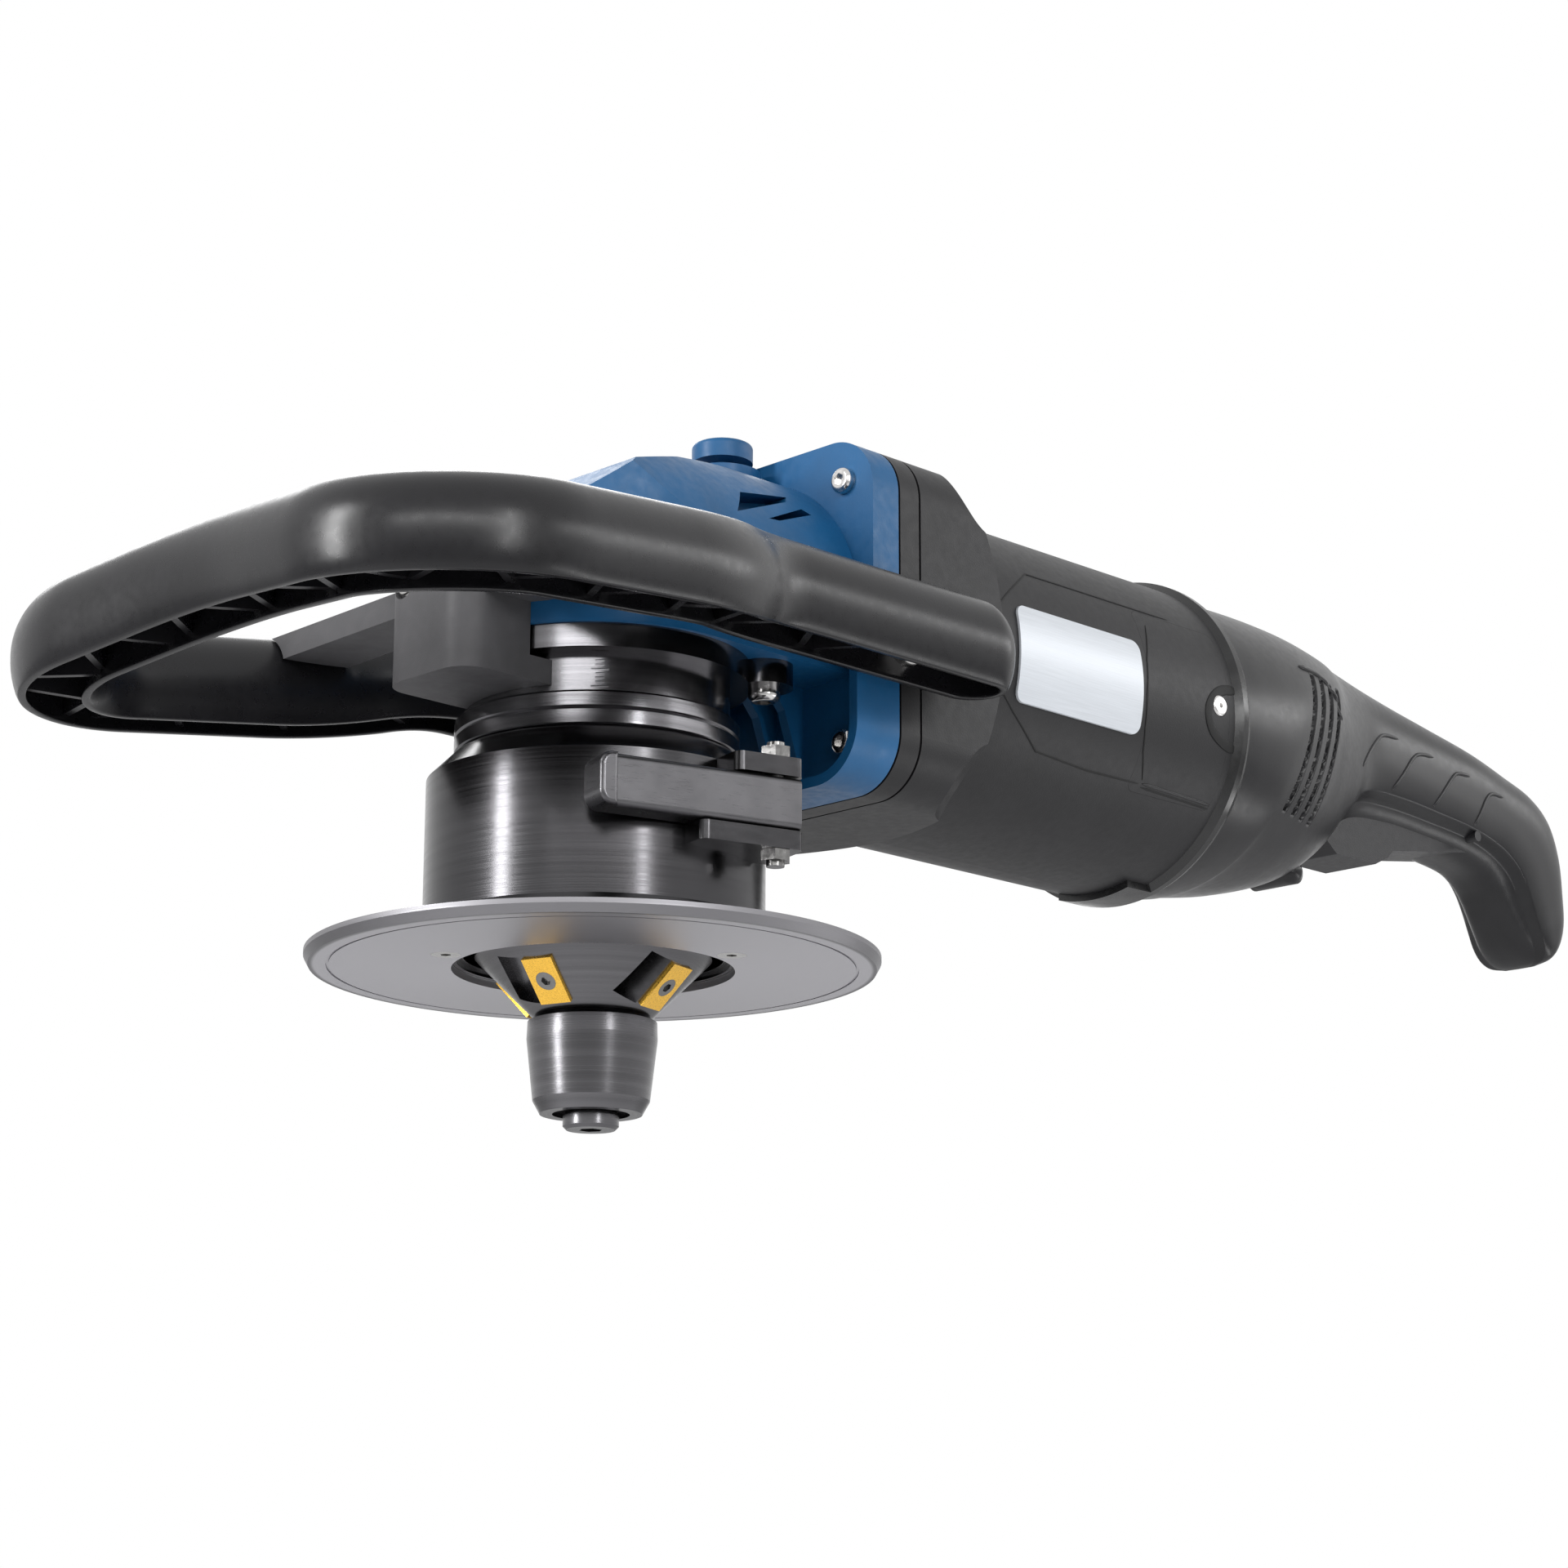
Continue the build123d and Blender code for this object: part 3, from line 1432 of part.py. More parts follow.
def up_handle(share):
    """Height at a share of the handle's half width above the motor axis."""
    return motor_z + share * handle_half


def grip_section(shares, inset):
    """Rounded cross-section of the rear handle at one station."""
    x_share, half_share, low_share, high_share, corner_share = shares
    half = half_share * handle_half - inset
    tall = (high_share - low_share) * handle_half / 2 - inset
    middle = up_handle((low_share + high_share) / 2)
    plane = Plane((along_handle(x_share), 0, middle), x_dir=(0, 1, 0), z_dir=(1, 0, 0))
    return plane * RectangleRounded(2 * half, 2 * tall, min(half, tall) * corner_share)


def grip_body(inset, ruled):
    """Loft through the handle's stations."""
    return loft([grip_section(shares, inset) for shares in grip_station_shares], ruled=ruled)


def tail_plan(inset):
    """Upright prism that rounds the hook's front and its two rear corners."""
    nose_x = along_handle(tail_nose_share)
    front_x = nose_x - tail_corner
    rear_x = along_handle(tail_rear_share) - inset
    half = tail_half - inset
    nose = Pos(nose_x, 0) * Circle(half)
    rest = Pos((front_x + rear_x) / 2, 0) * RectangleRounded(rear_x - front_x, 2 * half, tail_corner - inset)
    return extrude(nose + rest, 2 * motor_z)


def tail_body(inset):
    """Hook at the rear end of the handle."""
    points = [(along_handle(x_share), up_handle(z_share)) for x_share, z_share in tail_point_shares]
    if inset:
        outline = make_face(Plane.XZ * Polyline(*points, close=True))
        return extrude(offset(outline, -inset), tail_half - inset, both=True) & tail_plan(inset)
    hook = extrude(make_face(Plane.XZ * Spline(*points, periodic=True)), tail_half, both=True)
    flat_faces = hook.faces().filter_by(Axis.Y)
    return fillet(flat_faces.edges(), tail_round / 2) & tail_plan(0)


def handle_screw_places():
    """Centres of the shell screws as (x, z)."""
    return [(along_handle(x_share), up_handle(z_share)) for x_share, z_share in handle_screw_shares]


def handle_hollow():
    """Space inside the handle, left solid round the shell screws."""
    rear = along_handle(grip_station_shares[-2][0])
    hollow = grip_body(grip_wall, True)
    hollow -= block(rear, 2 * rear, -2 * handle_half, 2 * handle_half, 0, 2 * motor_z)
    bosses = [
        bar_y(handle_boss_r, x, -2 * handle_half, 2 * handle_half, z) for x, z in handle_screw_places()
    ]
    return hollow - bosses, tail_body(tail_hollow_inset) - bosses


def paddle_window():
    """Opening under the grip that the paddle works in."""
    gap = paddle_slot_gap
    return block(
        paddle_front_x - gap, paddle_rear_x + gap + paddle_edge, -paddle_half - gap, paddle_half + gap,
        0, paddle_top_rear + paddle_room,
    )


def vent_slots(side):
    """Leaning cooling slots in one flank of the rear handle."""
    low, high = sorted((side * control_half, side * mount_half))
    slots = []
    for i in range(vent_slot_count):
        x = vent_slot_x + i * vent_slot_pitch
        slots.append(side_plate(
            [
                (x - vent_slot_lean, vent_slot_low),
                (x - vent_slot_lean + vent_slot_width, vent_slot_low),
                (x + vent_slot_lean + vent_slot_width, vent_slot_high),
                (x + vent_slot_lean, vent_slot_high),
            ],
            low, high,
        ))
    return slots


def inlet_face_x():
    """X of the tail's rear end, where the mains lead enters."""
    return along_handle(tail_rear_share)


def handle_cuts():
    """Everything cut out of one half of the rear handle but the screw holes."""
    inlet_x = inlet_face_x()
    cuts = list(handle_hollow())
    cuts.append(bar_x(inlet_r + seat_gap, inlet_x - inlet_length - seat_gap, 2 * inlet_x, 0, inlet_z))
    collar_end = inlet_x - inlet_length + inlet_collar + seat_gap
    cuts.append(bar_x(inlet_collar_r + seat_gap, inlet_x - inlet_length - seat_gap, collar_end, 0, inlet_z))
    reach = paddle_pin_reach + seat_gap
    cuts.append(bar_y(paddle_pin_r + seat_gap, paddle_pivot_x, -reach, reach, paddle_pivot_z))
    cuts.append(paddle_window())
    return cuts + vent_slots(-1)


def make_handle_shells():
    """Right and left shells of the rear handle."""
    foot = bar_y(foot_r, foot_x, -foot_half, foot_half, foot_z)
    half_space = block(handle_front_x - overrun, 2 * inlet_face_x(), -2 * handle_half, 0, 0, 2 * motor_z)
    outer = (grip_body(0, False) & half_space) + (tail_body(0) & half_space) + (foot & half_space)
    blank = outer - handle_cuts()
    heads = [
        bar_y(handle_screw_head_r + seat_gap, x, -handle_half - overrun, -handle_screw_half, z)
        for x, z in handle_screw_places()
    ]
    shanks = [
        bar_y(handle_screw_r + seat_gap, x, -handle_screw_half - overrun, handle_screw_half, z)
        for x, z in handle_screw_places()
    ]
    return blank - heads - shanks, mirror(blank, Plane.XZ) - shanks


def make_handle_screws():
    """Screws that hold the two shells together."""
    screw = pan_screw(
        handle_screw_r, handle_screw_head_r, handle_screw_head, 2 * handle_screw_half - overrun,
        handle_screw_r * hex_socket_share, handle_screw_head / 2,
    )
    return Compound([
        Pos(x, -handle_screw_half, z) * Rot(90, 0, 0) * screw for x, z in handle_screw_places()
    ])


def make_switch_block():
    """Main switch inside the grip."""
    case = block(switch_front_x, switch_rear_x, -switch_half, switch_half, switch_low, switch_high)
    middle = (switch_front_x + switch_rear_x) / 2
    plunger = Pos(middle, 0, 0) * disc(switch_plunger_r, switch_plunger_low, switch_low + overrun)
    return case + plunger


def make_paddle():
    """Long switch paddle under the grip, hinged at its rear end."""
    points = [
        (paddle_front_x, paddle_top_front),
        (paddle_front_x, paddle_low_front),
        (paddle_front_x + paddle_edge * 4, paddle_bulge_z),
        (paddle_step_x - paddle_edge * 6, paddle_bulge_z),
        (paddle_step_x, paddle_low_front),
        (paddle_step_x + paddle_edge * 2, paddle_step_z),
        (paddle_rear_x, paddle_pivot_z - paddle_hub_r),
        (paddle_rear_x, paddle_top_rear),
    ]
    paddle = side_plate(points, -paddle_half, paddle_half)
    paddle = fillet(paddle.edges().filter_by(Axis.Y).group_by(Axis.Z)[0], paddle_edge)
    hole = bar_y(paddle_pin_r + running, paddle_pivot_x, -2 * paddle_half, 2 * paddle_half, paddle_pivot_z)
    return paddle - hole


def make_paddle_pin():
    """Hinge pin of the paddle, held in both shells."""
    return bar_y(paddle_pin_r, paddle_pivot_x, -paddle_pin_reach, paddle_pin_reach, paddle_pivot_z)


def make_control_module():
    """Speed control with cooling fins, inside the handle's wide end."""
    module = block(control_front_x, control_rear_x, -control_half, control_half, control_low, control_high)
    pitch = (control_rear_x - control_front_x) / control_fin_count
    for i in range(1, control_fin_count):
        x = control_front_x + i * pitch
        module -= block(
            x - pitch / 4, x + pitch / 4, -control_half - overrun, control_half + overrun,
            control_high - control_fin_depth, control_high + overrun,
        )
    return module


def make_cord_inlet():
    """Bushing that the mains lead enters through."""
    inlet_x = inlet_face_x()
    sleeve = bar_x(inlet_r, inlet_x - inlet_length, inlet_x, 0, inlet_z)
    collar = bar_x(inlet_collar_r, inlet_x - inlet_length, inlet_x - inlet_length + inlet_collar, 0, inlet_z)
    bore = bar_x(inlet_bore_r, inlet_x - inlet_length - overrun, inlet_x + overrun, 0, inlet_z)
    return sleeve + collar - bore


def bow_path():
    """Centre line of the bow along the middle of its lower edge."""
    half = [
        (bow_rear_x, bow_rear_y, bow_rear_low),
        (bow_waist_x, bow_rear_y, bow_rear_low),
        (bow_hip_x, bow_hip_y, bow_hip_low),
        (bow_corner_x, bow_corner_y, bow_corner_low),
    ]
    rounds = [bow_waist_round, bow_hip_round, bow_corner_round]
    near = [(x, -y, z) for x, y, z in half]
    points = near + [(bow_front_x, 0, bow_front_low)] + list(reversed(half))
    return FilletPolyline(*points, radius=rounds + [bow_front_round] + list(reversed(rounds)))


def bow_side(half, height):
    """Half width of the bow's section at a height below its shoulder, where the sides bulge."""
    shoulder = bow_height - bow_half_width
    tuck = bow_half_width * (1 - bow_foot_share)
    bulge_r = (shoulder**2 + tuck**2) / (2 * tuck)
    return half - bulge_r + math.sqrt(bulge_r**2 - (shoulder - height)**2)


def bow_section(inset, low):
    """Section of the bow: half round above its shoulder, drawn in towards the flat foot."""
    half = bow_half_width - inset
    shoulder = bow_height - bow_half_width
    middle = (shoulder + low) / 2
    foot = bow_side(half, low)
    right = ThreePointArc((half, shoulder), (bow_side(half, middle), middle), (foot, low))
    left = ThreePointArc((-foot, low), (-bow_side(half, middle), middle), (-half, shoulder))
    top = ThreePointArc((-half, shoulder), (0, shoulder + half), (half, shoulder))
    return make_face([*right.edges(), *Line((foot, low), (-foot, low)).edges(), *left.edges(), *top.edges()])


def bow_solid(inset, low):
    """Bow of a constant section, smaller than the whole by the inset."""
    path = bow_path()
    plane = Plane(path @ 0, x_dir=(0, -1, 0), z_dir=(-1, 0, 0))
    return sweep(plane * bow_section(inset, low), path)


def bow_end_cap():
    """Rounded end of the near arm: half the section, turned half round."""
    right = Rectangle(bow_half_width, 2 * bow_height, align=(Align.MIN, Align.CENTER))
    half = Plane.XZ * (bow_section(0, 0) & right)
    sideways = Rot(0, 0, -full_turn / 4) * half
    return Pos(bow_rear_x, -bow_rear_y, bow_rear_low) * revolve(sideways, Axis.Z, full_turn / 2)


def bow_ribs():
    """Zigzag ribs across the bow's channel."""
    path = bow_path()
    count = int(path.length / bow_rib_pitch)
    ribs = []
    for i in range(1, count):
        place = path @ (i / count)
        if abs(place.X - bow_boss_x) < 3 * bow_boss_r:
            continue
        ahead = path % (i / count)
        lean = bow_rib_turn if i % 2 else -bow_rib_turn
        turn = math.degrees(math.atan2(ahead.X, -ahead.Y)) + lean
        plate = Box(3 * bow_half_width, bow_rib, bow_rib_depth, align=standing)
        ribs.append(Pos(place.X, place.Y, place.Z + bow_rib_inset) * Rot(0, 0, turn) * plate)
    return ribs


def make_bow_handle():
    """Bow-shaped front handle: an arch section open below, with zigzag ribs."""
    cap = bow_end_cap()
    inner = bow_solid(bow_wall, -overrun)
    ribs = inner & Compound(bow_ribs())
    handle = bow_solid(0, 0) + cap + mirror(cap, Plane.XZ) - inner
    for side in (-1, 1):
        inner_y = bow_rear_y - bow_half_width
        low, high = sorted((side * (mount_half + seat_gap), side * (inner_y + bow_wall / 2)))
        handle += bar_y(bow_boss_r, bow_boss_x, low, high, bow_boss_z)
        low, high = sorted((side * mount_half, side * (inner_y + bow_wall + overrun)))
        handle -= bar_y(side_bolt_r + seat_gap, bow_boss_x, low, high, bow_boss_z)
        low, high = sorted((side * (inner_y + bow_wall), side * bow_rear_y))
        handle -= bar_y(side_bolt_head_r + seat_gap, bow_boss_x, low, high, bow_boss_z)
    return handle + ribs.solids()


def make_side_bolts():
    """Bolts that hold the bow's arms to the sides of the gear housing."""
    seat = bow_rear_y - bow_half_width + bow_wall + seat_gap
    reach = seat - mount_half + side_bolt_reach
    bolt = pan_screw(
        side_bolt_r, side_bolt_head_r, side_bolt_head, reach,
        side_bolt_head_r * hex_socket_share, side_bolt_head * hex_socket_share,
    )
    near = Pos(bow_boss_x, -seat, bow_boss_z) * Rot(90, 0, 0) * bolt
    far = Pos(bow_boss_x, seat, bow_boss_z) * Rot(-90, 0, 0) * bolt
    return Compound([near, far])


def make_handle_bracket():
    """Cast bracket: block in front of the gear housing, foot to the neck, spokes to the bow."""
    body = block(bracket_front_x, bracket_rear_x, -bracket_half, bracket_half, bracket_low, bracket_high)
    body = fillet(body.edges().filter_by(Axis.Z).group_by(Axis.X)[0], bracket_edge)
    body = fillet(body.edges().filter_by(Axis.X).group_by(Axis.Z)[-1], bracket_edge / 2)
    body += block(bracket_rear_x - overrun, 0, -bracket_half, bracket_half, bracket_low, bracket_arm_high)
    for side in (-1, 1):
        plan = make_face(Polyline(
            (spoke_front_x, 0),
            (spoke_end_x, side * spoke_arm_y),
            (spoke_end_x + spoke_rear_x - spoke_front_x, side * spoke_arm_y),
            (spoke_rear_x - seat_gap, side * bracket_half),
            (spoke_rear_x - seat_gap, 0),
            close=True,
        ))
        body += Pos(0, 0, spoke_low) * extrude(plan, spoke_height, dir=(0, 0, 1))
    body -= disc(neck_r + seat_gap, bracket_low - overrun, bracket_arm_high + overrun)
    body -= disc(housing_r + seat_gap, bracket_arm_high, bracket_high + overrun)
    for side in (-1, 1):
        y = side * bracket_screw_y
        body -= bar_x(bracket_screw_r + seat_gap, bracket_front_x - overrun, 0, y, bracket_screw_z)
        body -= bar_x(
            bracket_screw_head_r + seat_gap, bracket_front_x - overrun,
            bracket_front_x + bracket_screw_head + overrun, y, bracket_screw_z,
        )
    return body - bow_solid(-seat_gap, -overrun)


def make_bracket_screws():
    """Screws that hold the bracket against the front of the gear housing."""
    seat = bracket_front_x + bracket_screw_head + overrun
    reach = bracket_screw_reach - housing_r - seat
    screw = pan_screw(
        bracket_screw_r, bracket_screw_head_r, bracket_screw_head, reach,
        bracket_screw_head_r * hex_socket_share, bracket_screw_head * hex_socket_share,
    )
    return Compound([
        Pos(seat, side * bracket_screw_y, bracket_screw_z) * Rot(0, -90, 0) * screw for side in (-1, 1)
    ])


def build_all():
    """Builds every node once, in a dictionary of name to shape."""
    right_shell, left_shell = make_handle_shells()
    nodes = {
        "guide_plate": make_guide_plate(),
        "guide_plate_screws": make_plate_screws(),
        "chip_ring": make_chip_ring(),
        "guide_barrel": make_guide_barrel(),
        "lever_pin": make_lever_pin(),
        "clamp_lever": make_clamp_lever(),
        "depth_ring": make_depth_ring(),
        "neck_sleeve": make_neck_sleeve(),
        "bearing_flange": make_bearing_flange(),
        "bearing_flange_screws": make_flange_screws(),
        "spindle_lower_bearing": make_lower_bearing(),
        "spindle_upper_bearing": make_upper_bearing(),
        "spindle_shaft": make_spindle(),
        "crown_gear": make_crown_gear(),
        "pinion": make_pinion(),
        "cutter_head": make_cutter_head(),
        "cutting_inserts": make_cutting_inserts(),
        "insert_screws": make_insert_screws(),
        "pilot_roller": make_pilot_roller(),
        "pilot_bearings": make_pilot_bearings(),
        "pilot_screw": make_pilot_screw(),
        "gear_housing": make_gear_housing(),
        "gear_housing_screws": make_housing_screws(),
        "lock_button": make_lock_button(),
        "lock_spring": make_lock_spring(),
        "lock_collar": make_lock_collar(),
        "motor_shield": make_motor_shield(),
        "armature_front_bearing": make_front_bearing(),
        "armature_rear_bearing": make_rear_bearing(),
        "motor_housing": make_motor_housing(),
        "side_cover_left": make_side_cover(1),
        "side_cover_right": make_side_cover(-1),
        "side_cover_screws": make_cover_screws(),
        "rating_plate": make_rating_plate(),
        "armature_shaft": make_armature_shaft(),
        "armature_core": make_armature_core(),
        "armature_coils": make_armature_coils(),
        "commutator": make_commutator(),
        "cooling_fan": make_cooling_fan(),
        "stator_core": make_stator_core(),
        "field_coils": make_field_coils(),
        "brush_holders": make_brush_holders(),
        "carbon_brushes": make_carbon_brushes(),
        "brush_springs": make_brush_springs(),
        "damping_ring": make_damping_ring(),
        "rear_handle_left": left_shell,
        "rear_handle_right": right_shell,
        "rear_handle_screws": make_handle_screws(),
        "switch_block": make_switch_block(),
        "switch_paddle": make_paddle(),
        "paddle_pin": make_paddle_pin(),
        "speed_control": make_control_module(),
        "bow_handle": make_bow_handle(),
        "bow_side_bolts": make_side_bolts(),
        "handle_bracket": make_handle_bracket(),
        "bracket_screws": make_bracket_screws(),
        "cord_inlet": make_cord_inlet(),
    }
    return nodes


if __name__ == "__main__":
    os.makedirs("parts", exist_ok=True)
    for name, shape in build_all().items():
        export_step(shape, f"parts/{name}.step")
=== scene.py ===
"""Looks of the edge milling machine: finishes for its solids, fine surfaces, camera and studio."""

import bmesh
import bpy
import numpy as np
from bpy.props import FloatProperty, FloatVectorProperty, IntProperty, PointerProperty
from mathutils import Matrix, Vector


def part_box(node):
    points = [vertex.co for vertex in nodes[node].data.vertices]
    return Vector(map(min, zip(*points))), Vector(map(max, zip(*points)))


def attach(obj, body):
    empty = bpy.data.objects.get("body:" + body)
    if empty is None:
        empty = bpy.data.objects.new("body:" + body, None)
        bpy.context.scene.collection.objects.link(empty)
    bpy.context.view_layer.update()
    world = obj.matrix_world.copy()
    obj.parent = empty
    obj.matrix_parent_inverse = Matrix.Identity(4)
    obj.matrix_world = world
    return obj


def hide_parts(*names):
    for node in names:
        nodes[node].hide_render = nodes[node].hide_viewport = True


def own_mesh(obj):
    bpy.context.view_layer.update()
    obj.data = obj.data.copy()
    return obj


bl_info = {
    "name": "Edge milling machine",
    "version": (1, 0, 0),
    "blender": (4, 5, 0),
    "location": "View3D > Sidebar > Edge mill",
    "description": "Finishes, fine surfaces and a studio for an edge milling machine",
    "category": "Object",
}

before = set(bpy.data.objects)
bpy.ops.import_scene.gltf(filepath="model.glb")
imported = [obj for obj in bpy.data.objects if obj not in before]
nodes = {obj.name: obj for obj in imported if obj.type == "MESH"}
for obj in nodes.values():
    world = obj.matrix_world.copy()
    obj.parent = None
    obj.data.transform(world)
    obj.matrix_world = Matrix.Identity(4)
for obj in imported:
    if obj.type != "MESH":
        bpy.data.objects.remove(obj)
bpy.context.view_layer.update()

MM = 0.001
WELD = 0.0001 * MM
MOTOR_Z = 111.6 * MM
PLATE_RIM_R = 80.5 * MM
PLATE_RIM_EDGE = 1 * MM
SIDES = ((-1, "right"), (1, "left"))
CURVE_STEPS = 24
BEAD_TAPER = 12


# Sizes and colours that a user may change


def colour(name, about, value):
    """A colour property with its default."""
    return FloatVectorProperty(
        name=name, description=about, subtype="COLOR", size=3, min=0, max=1, default=value
    )


def length(name, about, value):
    """A length property with its default, in metres."""
    return FloatProperty(
        name=name, description=about, unit="LENGTH", subtype="DISTANCE", default=value, min=0
    )


class EdgeMillColours(bpy.types.PropertyGroup):
    """Colours of the machine's finishes."""

    casting_blue: colour("Casting blue", "Paint of the gear housing", (0.007, 0.088, 0.222))
    body_black: colour("Body black", "Grained plastic of the motor housing", (0.009, 0.0088, 0.010))
    grip_black: colour("Grip black", "Smoother plastic of both handles", (0.0085, 0.0083, 0.0096))
    bracket_grey: colour("Bracket grey", "Coating of the handle bracket", (0.066, 0.065, 0.069))
    rubber_black: colour("Rubber black", "Damping ring", (0.006, 0.006, 0.0065))
    dark_steel: colour("Dark steel", "Turned and ground steel", (0.058, 0.0572, 0.0602))
    bright_steel: colour("Bright steel", "Screws and bearings", (0.620, 0.610, 0.600))
    carbide_gold: colour("Carbide gold", "Coating of the inserts", (0.820, 0.480, 0.065))
    plate_silver: colour("Plate silver", "Bare rating plate", (0.590, 0.620, 0.660))
    copper: colour("Copper", "Windings", (0.560, 0.210, 0.080))
    brass: colour("Brass", "Commutator and brush holders", (0.550, 0.370, 0.120))
    carbon: colour("Carbon", "Brushes", (0.030, 0.030, 0.030))
    floor_pale: colour("Floor", "Paper of the studio floor", (0.860, 0.860, 0.870))


class EdgeMillSizes(bpy.types.PropertyGroup):
    """Sizes of the fine surfaces."""

    ridge_width: length("Ridge width", "Width of the finger ridges on the grip", 1.5 * MM)
    ridge_height: length("Ridge height", "How far the finger ridges stand out", 0.55 * MM)
    louvre_pitch: length("Louvre pitch", "Spacing of the small bars in the cooling slots", 3.1 * MM)
    louvre_depth: length("Louvre depth", "Depth of the cooling slots", 2.6 * MM)
    seam_width: length("Seam width", "Width of the panel lines on the motor housing", 0.7 * MM)
    seam_height: length("Seam height", "How far the panel lines stand out", 0.12 * MM)
    grain_size: length("Grain size", "Size of the grain in the moulded plastic", 0.55 * MM)
    turning_pitch: length("Turning pitch", "Spacing of the tool marks on turned steel", 0.16 * MM)


class EdgeMillStudio(bpy.types.PropertyGroup):
    """Camera and lights."""

    lens: FloatProperty(
        name="Lens", description="Focal length on a 36 mm frame", unit="CAMERA", default=80.21
    )
    lamp_power: FloatProperty(
        name="Lamp power", description="Factor on every lamp", default=1.0, min=0
    )
    sky_level: FloatProperty(
        name="Sky level", description="Light from all round on the machine", default=0.15, min=0
    )
    floor_glow: FloatProperty(
        name="Floor glow", description="Light that the pale floor gives off", default=0.25, min=0
    )
    floor_drop: length("Floor drop", "Depth of the floor below the work plane", 520 * MM)
    lamp_count: IntProperty(
        name="Lamps", description="How many of the lamps are lit", default=6, min=0, max=6
    )


# Shared helpers


class Finish:
    """Lays out the nodes of one material, on the machine's own coordinates in metres."""

    def __init__(self, name, colour, roughness, metallic=0.0):
        self.material = bpy.data.materials.new(name)
        self.material.use_nodes = True
        self.tree = self.material.node_tree
        self.shader = self.tree.nodes["Principled BSDF"]
        self.shader.inputs["Base Color"].default_value = (*colour, 1)
        self.shader.inputs["Roughness"].default_value = roughness
        self.shader.inputs["Metallic"].default_value = metallic
        self.place = self.node("ShaderNodeTexCoord").outputs["Object"]

    def node(self, kind, **settings):
        """Adds a node and sets its properties."""
        made = self.tree.nodes.new(kind)
        for key, value in settings.items():
            setattr(made, key, value)
        return made

    def link(self, source, socket):
        """Feeds a socket from another one, or sets it to a number."""
        if isinstance(source, bpy.types.NodeSocket):
            self.tree.links.new(source, socket)
        else:
            socket.default_value = source

    def mottle(self, size, detail=2.0, place=None, stretch=(1, 1, 1)):
        """Noise between 0 and 1 whose spots have about the given size."""
        mapping = self.node("ShaderNodeMapping")
        self.link(self.place if place is None else place, mapping.inputs["Vector"])
        mapping.inputs["Scale"].default_value = [1 / (size * s) for s in stretch]
        noise = self.node("ShaderNodeTexNoise")
        noise.inputs["Scale"].default_value = 1.0
        noise.inputs["Detail"].default_value = detail
        self.link(mapping.outputs["Vector"], noise.inputs["Vector"])
        return noise.outputs["Fac"]

    def arithmetic(self, operation, first, second=0.0):
        """One math node."""
        made = self.node("ShaderNodeMath", operation=operation)
        self.link(first, made.inputs[0])
        self.link(second, made.inputs[1])
        return made.outputs["Value"]

    def spread(self, value, low, high, start=0.3, end=0.7):
        """Maps a value from start..end to low..high."""
        made = self.node("ShaderNodeMapRange", clamp=True)
        self.link(value, made.inputs["Value"])
        made.inputs["From Min"].default_value = start
        made.inputs["From Max"].default_value = end
        made.inputs["To Min"].default_value = low
        made.inputs["To Max"].default_value = high
        return made.outputs["Result"]

    def vary_colour(self, factor, first, second):
        """Base colour between two tones."""
        made = self.node("ShaderNodeMix", data_type="RGBA")
        self.link(factor, made.inputs["Factor"])
        tones = [socket for socket in made.inputs if socket.type == "RGBA"]
        tones[0].default_value = (*first, 1)
        tones[1].default_value = (*second, 1)
        blended = [socket for socket in made.outputs if socket.type == "RGBA"][0]
        self.link(blended, self.shader.inputs["Base Color"])

    def vary_tone(self, factor, tone, low, high):
        """Base colour between two shades of one tone."""
        self.vary_colour(self.spread(factor, 0, 1), darker(tone, low), darker(tone, high))

    def vary_roughness(self, factor, low, high):
        """Roughness between two values."""
        self.link(self.spread(factor, low, high), self.shader.inputs["Roughness"])

    def raise_surface(self, height, depth, strength=1.0):
        """Bump from a height between 0 and 1, over a real depth in metres."""
        bump = self.node("ShaderNodeBump")
        bump.inputs["Strength"].default_value = strength
        bump.inputs["Distance"].default_value = depth
        self.link(height, bump.inputs["Height"])
        self.link(bump.outputs["Normal"], self.shader.inputs["Normal"])

    def round_about(self, axis, centre=(0, 0, 0)):
        """(distance from an axis, distance along it) as sockets."""
        shifted = self.node("ShaderNodeVectorMath", operation="SUBTRACT")
        self.link(self.place, shifted.inputs[0])
        shifted.inputs[1].default_value = centre
        parts = self.node("ShaderNodeSeparateXYZ")
        self.link(shifted.outputs["Vector"], parts.inputs["Vector"])
        names = [n for n in "XYZ" if n != axis]
        squares = [self.arithmetic("MULTIPLY", parts.outputs[n], parts.outputs[n]) for n in names]
        radius = self.arithmetic("SQRT", self.arithmetic("ADD", squares[0], squares[1]))
        return radius, parts.outputs[axis]

    def turning_marks(self, axis, pitch, centre=(0, 0, 0)):
        """Fine rings that a turning tool leaves, as a height between 0 and 1."""
        radius, along = self.round_about(axis, centre)
        joined = self.node("ShaderNodeCombineXYZ")
        self.link(radius, joined.inputs["X"])
        self.link(along, joined.inputs["Y"])
        return self.mottle(pitch, 3.0, joined.outputs["Vector"])


def darker(tone, factor):
    """The same colour, scaled."""
    return tuple(min(1.0, c * factor) for c in tone)


def dress(finish, *names):
    """Puts a finish on CAD nodes through their material slots."""
    for name in names:
        slots = nodes[name].material_slots
        if not slots:
            nodes[name].data.materials.append(finish.material)
        for slot in slots:
            slot.material = finish.material


